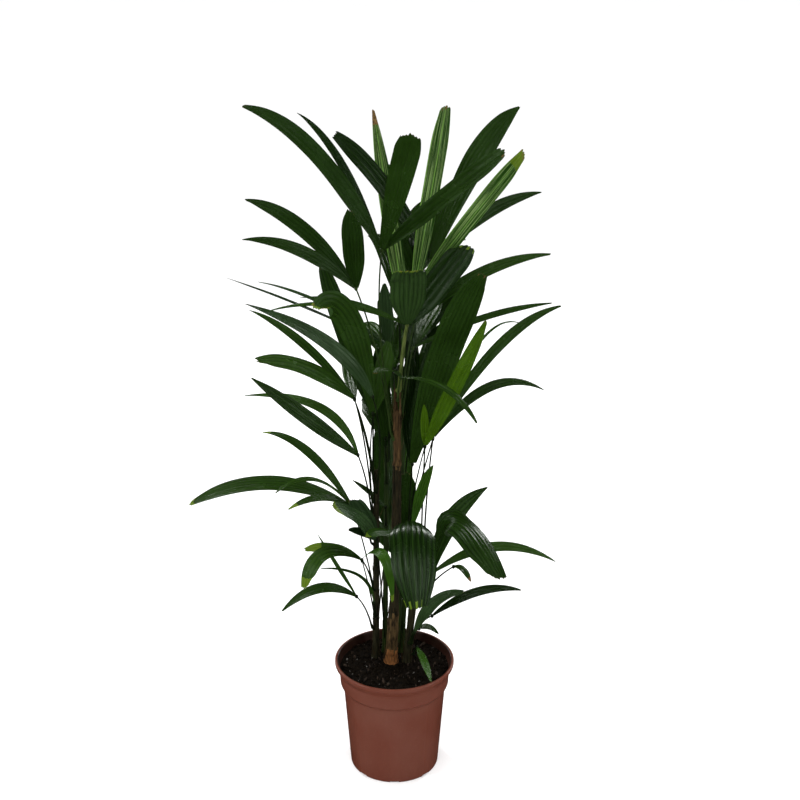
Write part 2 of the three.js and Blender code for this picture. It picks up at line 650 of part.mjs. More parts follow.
// Every stalk, then every leaflet, in the order of the table
function layOut() {
  const rods = Object.keys(CANES).map(caneRod);
  const stalks = allFronds.map((frond) => {
    const plan = placeStalk(frond, rods);
    rods.push(stalkRod(plan));
    return plan;
  });
  const sheets = [];
  return allFronds.map((frond, index) => {
    const tried = frond.leaflets.map((leaflet) => placeLeaflet(frond, leaflet, rods, sheets));
    const lost = LOST[frond.name] || [];
    const kept = tried.filter((found, place) => found && !lost.includes(place));
    sheets.push(...tried.filter(Boolean).map(({ sheet }) => sheet));
    return { frond, stalk: stalks[index], leaflets: kept.map(({ plan }) => plan) };
  });
}

function makeFrond({ frond, stalk, leaflets }) {
  const hub = new THREE.IcosahedronGeometry(HUB_RADIUS, 0).translate(...frond.hub);
  const solids = leaflets.map(leafletSolid);
  return named(frond.name, geometryOf(joined([solidOf(hub), stalkSolid(stalk), ...solids])), 'frond');
}

const group = new THREE.Group();
group.add(makePot(), makeSoil());
for (const name of Object.keys(CANES)) group.add(makeCane(name));
for (const plan of layOut()) group.add(makeFrond(plan));

export default group;
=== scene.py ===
# A potted lady palm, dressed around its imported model: pleated leaflets in fans on thin stalks, canes
# wrapped in fibre, a brown nursery pot and dark soil. Layout in millimetres, meshes in metres.
import logging
import math
from collections.abc import Callable, Sequence
from dataclasses import dataclass, field, replace
from enum import Enum

import bpy
import numpy as np
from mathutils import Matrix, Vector


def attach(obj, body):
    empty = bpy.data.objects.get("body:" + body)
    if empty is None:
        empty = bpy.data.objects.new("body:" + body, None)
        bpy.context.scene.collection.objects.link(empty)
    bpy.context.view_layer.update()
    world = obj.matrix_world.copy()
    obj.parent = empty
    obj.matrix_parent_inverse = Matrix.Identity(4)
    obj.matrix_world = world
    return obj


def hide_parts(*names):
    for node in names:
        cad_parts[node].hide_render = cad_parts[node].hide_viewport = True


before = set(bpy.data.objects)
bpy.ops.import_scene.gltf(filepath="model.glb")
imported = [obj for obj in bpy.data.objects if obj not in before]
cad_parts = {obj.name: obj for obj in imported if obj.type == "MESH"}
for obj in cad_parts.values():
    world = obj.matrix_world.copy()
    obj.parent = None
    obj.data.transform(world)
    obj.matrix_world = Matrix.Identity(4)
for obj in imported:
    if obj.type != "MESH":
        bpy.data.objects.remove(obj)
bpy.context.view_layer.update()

LOG = logging.getLogger("lady_palm")
BODY = "root"
MM = 0.001

Array = np.ndarray
Colour = tuple[float, float, float]
Point = tuple[float, float, float]
Span = tuple[float, float]

# Shared measures of the plant, as in the part's source
GAP = 0.3
SOIL_LEVEL = 190.0
SHEATH_SWELL = 1.07
SHEATH_STEP = 62.0
FLARE = 1.35
FLARE_HEIGHT = 28.0
FLARE_BEND = 0.4
BEND_SWELL = 1.08
FIRST_MOUTH = 5.0
MOUTH_STEP = 6.0
MOUTH_LIP = 1.0
TIP_HEIGHT = 6.0
TIP_EDGE = 2.0
TIP_SHOULDER = 0.9
TIP_SHARE = 0.45
CANE_SIDES = 8
STALK_OVER_MOUTH = 3.0
STALK_FOOT = 2.1
STALK_TIP = 1.6
STALK_RISE = 0.6
STALK_OUTWARD = 0.3
STATIONS = np.array([0, 0.12, 0.32, 0.58, 0.82, 1])
ROOT_SHARE = 0.22
WIDEST_FROM = 0.42
CLOSING_FROM = 0.4
CLOSING_DELAY = 0.6
FOLD = 0.1

# How pieces keep clear of each other, as in the part's source
CLEAR = 4.0
SWING_STEP = 4.0
SWING_TRIES = 15
SAMPLE_STEP = 8.0
PAST_END = 0.1
STALK_STEP = 6.0
STALK_TRIES = 12
STALK_ROOT = 5
ROD_STEPS = 16


class Tone(Enum):
    """The greens that fronds come in, by the name of the record's material slot."""

    DARK = "foliage_dark"
    MID = "foliage_mid"
    BRIGHT = "foliage_bright"
    LIME = "foliage_lime"
    STRIPED = "foliage_striped"
    # Grey green: the leaf's green with a painted grey sheen
    GREY = "foliage_grey"


class End(Enum):
    """How a leaflet ends: share of its length that is dry, and share that is yellow."""

    GREEN = (0.006, 0.0)
    BROWN = (0.09, 0.0)
    YELLOW = (0.012, 0.12)
    TOUCHED = (0.006, 0.03)
    PALE = (0.0, 0.016)
    RIPE = (0.012, 0.28)


class Breadth(Enum):
    """Breadth classes of leaflets: widest in millimetres, pleats, columns, share of the pleats' depth."""

    NARROW = (14.0, 2, 8, 0.8)
    MIDDLE = (34.0, 4, 16, 0.75)
    BROAD = (46.0, 6, 24, 0.95)
    WIDEST = (math.inf, 8, 32, 1.1)

    def __init__(self, *values: float) -> None:
        """Names the four values."""
        self.widest, self.pleats, self.columns, self.depth = values

    @classmethod
    def of(cls, width: float) -> "Breadth":
        """Finds the first class that is wide enough for a leaflet."""
        return next(breadth for breadth in cls if width < breadth.widest)


def from_screen(red: int, green: int, blue: int) -> Colour:
    """Turns a screen colour, from 0 to 255, into the linear one that a shader takes."""
    shares = [value / 255 for value in (red, green, blue)]
    return tuple(s / 12.92 if s <= 0.04045 else ((s + 0.055) / 1.055) ** 2.4 for s in shares)


def unit(vectors: Array) -> Array:
    """Gives vectors the length 1."""
    return vectors / np.linalg.norm(vectors, axis=-1, keepdims=True)


def smooth_step(values: Array | float) -> Array:
    """Eases values from 0 to 1 with no kink at either end."""
    held = np.clip(values, 0, 1)
    return held * held * (3 - 2 * held)


def alternating(n: int) -> int:
    """Gives 0, 1, -1, 2, -2 and so on for n from 0."""
    return math.ceil(n / 2) * (1 if n % 2 else -1)


def sampled(low: Array, high: Array, length: float, last: int = 0) -> Array:
    """Takes points from low to high, close enough for a length, with the last one or without."""
    count = math.ceil(length / SAMPLE_STEP)
    return low + (high - low) * (np.arange(count + last) / count)[:, None]


def number_source(seed: int) -> Callable[[], float]:
    """Makes the same fixed-seed source of numbers that the part's source draws from.

    Args:
        seed: The seed.

    Returns:
        A function that gives the next number from 0 to 1.
    """
    mask = 0xFFFFFFFF
    state = seed

    def draw() -> float:
        """Gives the next number."""
        nonlocal state
        state = (state + 0x6D2B79F5) & mask
        mixed = ((state ^ (state >> 15)) * (1 | state)) & mask
        mixed = ((mixed + (mixed ^ (mixed >> 7)) * (61 | mixed)) & mask) ^ mixed
        return (mixed ^ (mixed >> 14)) / (mask + 1)

    return draw


@dataclass(frozen=True)
class Arc:
    """A curve that leaves start, is drawn towards control and ends in end, in millimetres."""

    start: Array
    control: Array
    end: Array

    def points(self, shares: Array) -> Array:
        """Gives the point at each of some shares of the curve, from 0 to 1."""
        t = np.asarray(shares, float)[:, None]
        return (1 - t) ** 2 * self.start + 2 * t * (1 - t) * self.control + t * t * self.end

    def directions(self, shares: Array) -> Array:
        """Gives the direction at each of some shares of the curve, as a vector 1 long."""
        t = np.asarray(shares, float)[:, None]
        return unit((self.control - self.start) * (1 - t) + (self.end - self.control) * t)


@dataclass(frozen=True)
class Leaflet:
    """One leaflet as the table gives it, in degrees, millimetres and shares of its length."""

    spread: float
    length: float
    width: float
    lift: float
    arch: float
    tip_share: float
    crest: float = 0.5
    end: End = End.GREEN
    cup: float = 0.0
    tone: Tone | None = None
    shade: int | None = None
    neck: float = 0.0
    slant: float | None = None
    turn: float = 0.0
    reach: float = 1.0
    sag: float = 0.0
    blunt: float | None = None
    broad: float = 1.0
    opens: float = WIDEST_FROM
    ribs: float | None = None


@dataclass(frozen=True)
class Frond:
    """One frond: its cane, where its stalk leaves, where its leaflets meet, and their rows."""

    name: str
    cane: str
    leaves_at: float
    hub: Point
    face: Span
    tone: Tone
    leaflets: tuple[Leaflet, ...]

    def directions(self) -> tuple[Array, Array, Array]:
        """Gives the blade's own directions.

        Returns:
            Out of its upper side, up along it, and to its right.
        """
        azimuth, elevation = (math.radians(angle) for angle in self.face)
        level = np.array([math.cos(azimuth), math.sin(azimuth), 0])
        upright = np.array([0, 0, 1.0])
        out = level * math.cos(elevation) + upright * math.sin(elevation)
        up = upright * math.cos(elevation) - level * math.sin(elevation)
        return out, up, np.cross(up, out)


@dataclass(frozen=True)
class Sheet:
    """The flat facets between a leaflet's stations, for telling what would touch it."""

    centre: Array
    across: Array
    normal: Array
    half: Array
    points: Array

    def near(self, points: Array, margin: float) -> bool:
        """Tells whether a point lies within a margin of the sheet.

        Args:
            points: The points, in millimetres.
            margin: The margin, in millimetres.

        Returns:
            True when at least one point does.
        """
        step = self.centre[1:] - self.centre[:-1]
        way = points[:, None] - self.centre[None, :-1]
        share = (way * step).sum(-1) / (step * step).sum(-1)
        off = way - share[..., None] * step
        between = self.half[:-1] + (self.half[1:] - self.half[:-1]) * np.clip(share, 0, 1)
        beside = np.abs((off * self.across[:-1]).sum(-1)) < between * (1 + FOLD) + margin
        above = np.abs((off * self.normal[:-1]).sum(-1)) < margin + self.half[:-1] * FOLD
        return bool(((share > -PAST_END) & (share < 1 + PAST_END) & beside & above).any())

    def touches(self, other: "Sheet") -> bool:
        """Tells whether another leaflet's sheet comes too close to this one."""
        return self.reached_by(other.points) or other.reached_by(self.points)

    def reached_by(self, points: Array) -> bool:
        """Tells whether one of some points lies too close to the sheet."""
        boxed = ((points > self.points.min(0) - CLEAR) & (points < self.points.max(0) + CLEAR)).all(1)
        return bool(boxed.any()) and self.near(points[boxed], CLEAR)


@dataclass(frozen=True)
class Blade:
    """A leaflet in its place."""

    arc: Arc
    out: Array
    row: Leaflet

    @classmethod
    def of(cls, frond: Frond, row: Leaflet, swing: float = 0) -> "Blade":
        """Places a leaflet on its frond.

        Args:
            frond: The frond.
            row: The leaflet's row.
            swing: Degrees that it is swung out of its blade.

        Returns:
            The placed leaflet.
        """
        out, up, right = frond.directions()
        turn = math.radians(row.spread)
        rise = math.radians(row.lift + swing)
        along = up * math.cos(turn) + right * math.sin(turn)
        direction = along * math.cos(rise) + out * math.sin(rise)
        hub = np.array(frond.hub, float)
        control = hub + direction * row.length * row.crest
        control[2] += 2 * row.arch * row.length
        return cls(Arc(hub, control, hub + direction * row.length), out, row)

    def dressed(self) -> "Blade":
        """Gives the leaflet as its dressing shows it: turned, drawn out or sagging a little.

        Returns:
            The leaflet.
        """
        row = self.row
        hub = self.arc.start
        angle = -math.radians(row.turn)

        def moved(point: Array) -> Array:
            """Turns a point about the hub, in the blade's plane, and draws it out."""
            way = point - hub
            spun = way * math.cos(angle) + np.cross(self.out, way) * math.sin(angle)
            return hub + (spun + self.out * (self.out @ way) * (1 - math.cos(angle))) * row.reach

        lowered = self.arc.control - np.array([0, 0, 2 * row.arch * row.length * row.sag])
        arc = Arc(hub, moved(lowered), moved(self.arc.end))
        tip_share = row.tip_share if row.blunt is None else row.blunt
        return Blade(arc, self.out, replace(row, tip_share=tip_share))

    def half_widths(self, shares: Array, opens: float = WIDEST_FROM) -> Array:
        """Gives half the leaflet's width at shares of its length.

        Args:
            shares: Shares from 0 to 1.
            opens: The share at which it is widest.

        Returns:
            Half its width at each of them, in millimetres.
        """
        opening = np.sin(np.pi / 2 * np.minimum(1, shares / opens))
        start = CLOSING_FROM + CLOSING_DELAY * self.row.tip_share
        closing = np.maximum(0, (shares - start) / (1 - start))
        share = ROOT_SHARE + (1 - ROOT_SHARE) * opening
        return self.row.width / 2 * share * (1 - (1 - self.row.tip_share) * closing**2)

    def directions(self, shares: Array) -> tuple[Array, Array, Array]:
        """Gives the leaflet's directions at shares of its length.

        Args:
            shares: Shares from 0 to 1.

        Returns:
            Along it, across it, and out of its upper side.
        """
        along = self.arc.directions(shares)
        across = unit(np.cross(along, self.out))
        return along, across, np.cross(across, along)

    def sheet(self) -> Sheet:
        """Gives the facets by which other pieces keep clear of the leaflet.

        Returns:
            The facets.
        """
        centre = self.arc.points(STATIONS)
        _, across, normal = self.directions(STATIONS)
        half = self.half_widths(STATIONS)
        points = []
        for k in range(len(STATIONS) - 1):
            length = np.linalg.norm(centre[k + 1] - centre[k])
            for side in (-1, 0, 1):
                low = centre[k] + across[k] * side * half[k]
                high = centre[k + 1] + across[k + 1] * side * half[k + 1]
                points.append(sampled(low, high, length, 1))
        return Sheet(centre, across, normal, half, np.vstack(points))


@dataclass(frozen=True)
class Rod:
    """A cane or stalk as points along its middle."""

    name: str
    points: Array
    radius: float

    @classmethod
    def along(cls, name: str, corners: Array, radius: float) -> "Rod":
        """Takes points along a line of corners, for a rod of a radius in millimetres."""
        parts = [sampled(*pair, np.linalg.norm(pair[1] - pair[0])) for pair in zip(corners, corners[1:])]
        return cls(name, np.vstack(parts), radius)

    def touches(self, other: "Rod", skip: int = 0) -> bool:
        """Tells whether two rods meet, apart from some points at this one's start."""
        apart = np.linalg.norm(self.points[skip:, None] - other.points[None], axis=-1)
        return bool((apart < self.radius + other.radius + GAP).any())


@dataclass(frozen=True)
class Cane:
    """A cane, from the flat cut at the soil to its tip, in millimetres."""

    name: str
    foot: Span
    top: Point
    radii: Span
    bow: Span
    base: float = SOIL_LEVEL + GAP

    def centre(self, z: float) -> Array:
        """Gives the middle of the cane at a height.

        Args:
            z: The height.

        Returns:
            The point.
        """
        t = (z - self.base) / (self.top[2] - self.base)
        sag = 4 * t * (1 - t)
        x, y = (self.foot[i] + (self.top[i] - self.foot[i]) * t + self.bow[i] * sag for i in (0, 1))
        return np.array([x, y, z])

    def plain_radius(self, z: float) -> float:
        """Gives the cane's radius at a height, without its sheaths."""
        t = (z - self.base) / (self.top[2] - self.base)
        return self.radii[0] + (self.radii[1] - self.radii[0]) * t

    def mouths(self, fronds: Sequence[Frond]) -> list[float]:
        """Gives the heights of the sheath mouths.

        Args:
            fronds: All fronds: where a stalk leaves there is a mouth.

        Returns:
            The heights, from the lowest.
        """
        heights = [frond.leaves_at for frond in fronds if frond.cane == self.name]
        z = SOIL_LEVEL + SHEATH_STEP
        while z < self.top[2] - SHEATH_STEP / 2:
            if all(abs(height - z) > SHEATH_STEP / 2 for height in heights):
                heights.append(z)
            z += SHEATH_STEP
        heights.sort()
        return [z for i, z in enumerate(heights) if i == 0 or z - heights[i - 1] > MOUTH_STEP]

    def rings(self, fronds: Sequence[Frond]) -> list[Span]:
        """Gives the rings of the source's cane.

        Args:
            fronds: All fronds.

        Returns:
            Radius and height of each ring.
        """
        rings = [
            (self.radii[0] * FLARE, self.base),
            (self.radii[0] * BEND_SWELL, self.base + FLARE_HEIGHT * FLARE_BEND),
            (self.plain_radius(self.base + FLARE_HEIGHT), self.base + FLARE_HEIGHT),
        ]
        for z in self.mouths(fronds):
            if z > self.base + FLARE_HEIGHT + FIRST_MOUTH:
                rings.append((self.plain_radius(z) * SHEATH_SWELL, z - MOUTH_LIP))
                rings.append((self.plain_radius(z), z + MOUTH_LIP))
        rings.append((self.radii[1] * TIP_SHOULDER, self.top[2] - TIP_HEIGHT))
        rings.append((self.radii[1] * TIP_SHARE, self.top[2]))
        return rings

    def reach(self, fronds: Sequence[Frond], z: float, azimuth: float) -> float:
        """Gives how far the source's cane reaches from its middle.

        Args:
            fronds: All fronds.
            z: The height.
            azimuth: The direction, in radians.

        Returns:
            The distance from the middle to the skin.
        """
        radii, heights = zip(*self.rings(fronds))
        radius = float(np.interp(z, heights, radii))
        side = 2 * math.pi / CANE_SIDES
        return radius * math.cos(side / 2) / math.cos(azimuth % side - side / 2)

    def rod(self) -> Rod:
        """Gives the cane as a rod."""
        heights = SOIL_LEVEL + (self.top[2] - SOIL_LEVEL) * np.arange(ROD_STEPS + 1) / ROD_STEPS
        return Rod.along(self.name, np.array([*map(self.centre, heights)]), self.radii[0] * SHEATH_SWELL)


@dataclass(frozen=True)
class Level:
    """One frond of the back of the clump, in millimetres and degrees."""

    height: float
    heading: float
    distance: float
    leaves_at: float
    fan: float
    length: float


@dataclass(frozen=True)
class BackRule:
    """The rule that deals out the fronds behind, which the front hides."""

    levels: tuple[Level, ...]
    seed: int = 5
    middle: Span = (8, 50)
    face: Span = (50, 76)
    count: int = 5
    width: Span = (24, 32)
    lift: Span = (-9, 9)
    arch: Span = (0.07, 0.19)
    tip_share: float = 0.3
    length_spread: float = 0.12
    shorter_at_the_sides: float = 0.42

    def fronds(self) -> list[Frond]:
        """Deals out the fronds.

        Returns:
            One frond for each level, dark and middle green by turns.
        """
        draw = number_source(self.seed)

        def between(span: Span) -> float:
            """Gives the next number within a span."""
            return span[0] + (span[1] - span[0]) * draw()

        made = []
        for k, level in enumerate(self.levels):
            turn = math.radians(level.heading)
            x = self.middle[0] + level.distance * math.cos(turn)
            y = self.middle[1] + level.distance * math.sin(turn)
            rows = []
            for i in range(self.count):
                share = 2 * i / (self.count - 1) - 1
                shorter = self.shorter_at_the_sides * share * share
                length = level.length * (1 + self.length_spread * draw() - shorter)
                width, lift, arch = (between(span) for span in (self.width, self.lift, self.arch))
                rows.append(Leaflet(share * level.fan, length, width, lift, arch, self.tip_share))
            face = (level.heading + 180, between(self.face))
            tone = Tone.MID if k % 2 else Tone.DARK
            hub = (x, y, level.height)
            made.append(Frond(f"behind_{k + 1}", "back", level.leaves_at, hub, face, tone, tuple(rows)))
        return made


@dataclass(frozen=True)
class Stalk:
    """A frond's stalk in its place."""

    frond: Frond
    arc: Arc
    outward: Array

    def rod(self) -> Rod:
        """Gives the stalk as a rod."""
        corners = self.arc.points(np.arange(ROD_STEPS + 1) / ROD_STEPS)
        return Rod.along(self.frond.name, corners, STALK_FOOT)


@dataclass
class Clump:
    """All canes and fronds of the plant, and the rule that places them."""

    canes: tuple[Cane, ...]
    fronds: list[Frond]
    stalks: list[Stalk] = field(default_factory=list)
    blades: list[tuple[Frond, Blade]] = field(default_factory=list)
    rods: list[Rod] = field(default_factory=list)
    sheets: list[Sheet] = field(default_factory=list)

    def stalk(self, frond: Frond, sideways: float = 0) -> Stalk:
        """Draws a stalk from its cane's skin up and out to the hub.

        Args:
            frond: The frond.
            sideways: How far the stalk bows aside, in millimetres.

        Returns:
            The stalk.
        """
        cane = next(cane for cane in self.canes if cane.name == frond.cane)
        height = frond.leaves_at + STALK_OVER_MOUTH
        centre = cane.centre(height)
        hub = np.array(frond.hub, float)
        azimuth = math.atan2(hub[1] - centre[1], hub[0] - centre[0])
        outward = np.array([math.cos(azimuth), math.sin(azimuth), 0])
        start = centre + outward * (cane.reach(self.fronds, height, azimuth) + STALK_FOOT + GAP)
        drawn = (hub - start) * np.array([STALK_OUTWARD, STALK_OUTWARD, STALK_RISE])
        aside = np.array([-outward[1], outward[0], 0]) * sideways
        return Stalk(frond, Arc(start, start + drawn + aside, hub), outward)

    def place_stalk(self, frond: Frond) -> Stalk:
        """Bows a stalk to one side, then to the other, until it is clear of earlier rods.

        Args:
            frond: The frond.

        Returns:
            The stalk.
        """
        for n in range(STALK_TRIES):
            stalk = self.stalk(frond, STALK_STEP * alternating(n))
            own = stalk.rod()
            if not any(own.touches(rod, STALK_ROOT * (rod.name == frond.cane)) for rod in self.rods):
                return stalk
        return self.stalk(frond)

    def place_blade(self, frond: Frond, row: Leaflet) -> tuple[Blade, Sheet] | None:
        """Swings a leaflet to one side, then to the other, until it is clear of the rest.

        Args:
            frond: The frond.
            row: The leaflet's row.

        Returns:
            The leaflet and its sheet, or None where no swing clears it.
        """
        others = [rod for rod in self.rods if rod.name != frond.name]
        for n in range(SWING_TRIES):
            blade = Blade.of(frond, row, SWING_STEP * alternating(n))
            sheet = blade.sheet()
            if any(sheet.near(rod.points, rod.radius + CLEAR / 2) for rod in others):
                continue
            if not any(sheet.touches(other) for other in self.sheets):
                return blade, sheet
        return None

    def lay_out(self) -> None:
        """Places every stalk, then every leaflet, in the order of the table."""
        self.rods.extend(cane.rod() for cane in self.canes)
        for frond in self.fronds:
            stalk = self.place_stalk(frond)
            self.rods.append(stalk.rod())
            self.stalks.append(stalk)
        for frond in self.fronds:
            tried = [self.place_blade(frond, row) for row in frond.leaflets]
            for place, found in enumerate(tried):
                if found:
                    self.sheets.append(found[1])
                if found and place not in LOST.get(frond.name, ()):
                    self.blades.append((frond, found[0]))
        LOG.info("layout: %d fronds, %d leaflets", len(self.fronds), len(self.blades))


# The canes, in millimetres: foot, top, radius at foot and top, and how far the middle bows out
CANES = (
    Cane("main", (-6, 13), (4, -5, 712), (9.2, 7.2), (4, -12)),
    Cane("left", (-33, 30), (-30, 5, 563), (8.2, 6), (0, -4)),
    Cane("right", (22, 14), (48, 5, 440), (8.4, 5.5), (-2, -4)),
    Cane("left_inner", (-17, 48), (-13, 44, 590), (6.6, 5), (0, 2)),
    Cane("middle_right", (12, 47), (22, 30, 450), (6.4, 5), (2, 2)),
    Cane("back", (6, 82), (14, 92, 700), (7.6, 6), (2, 4)),
)

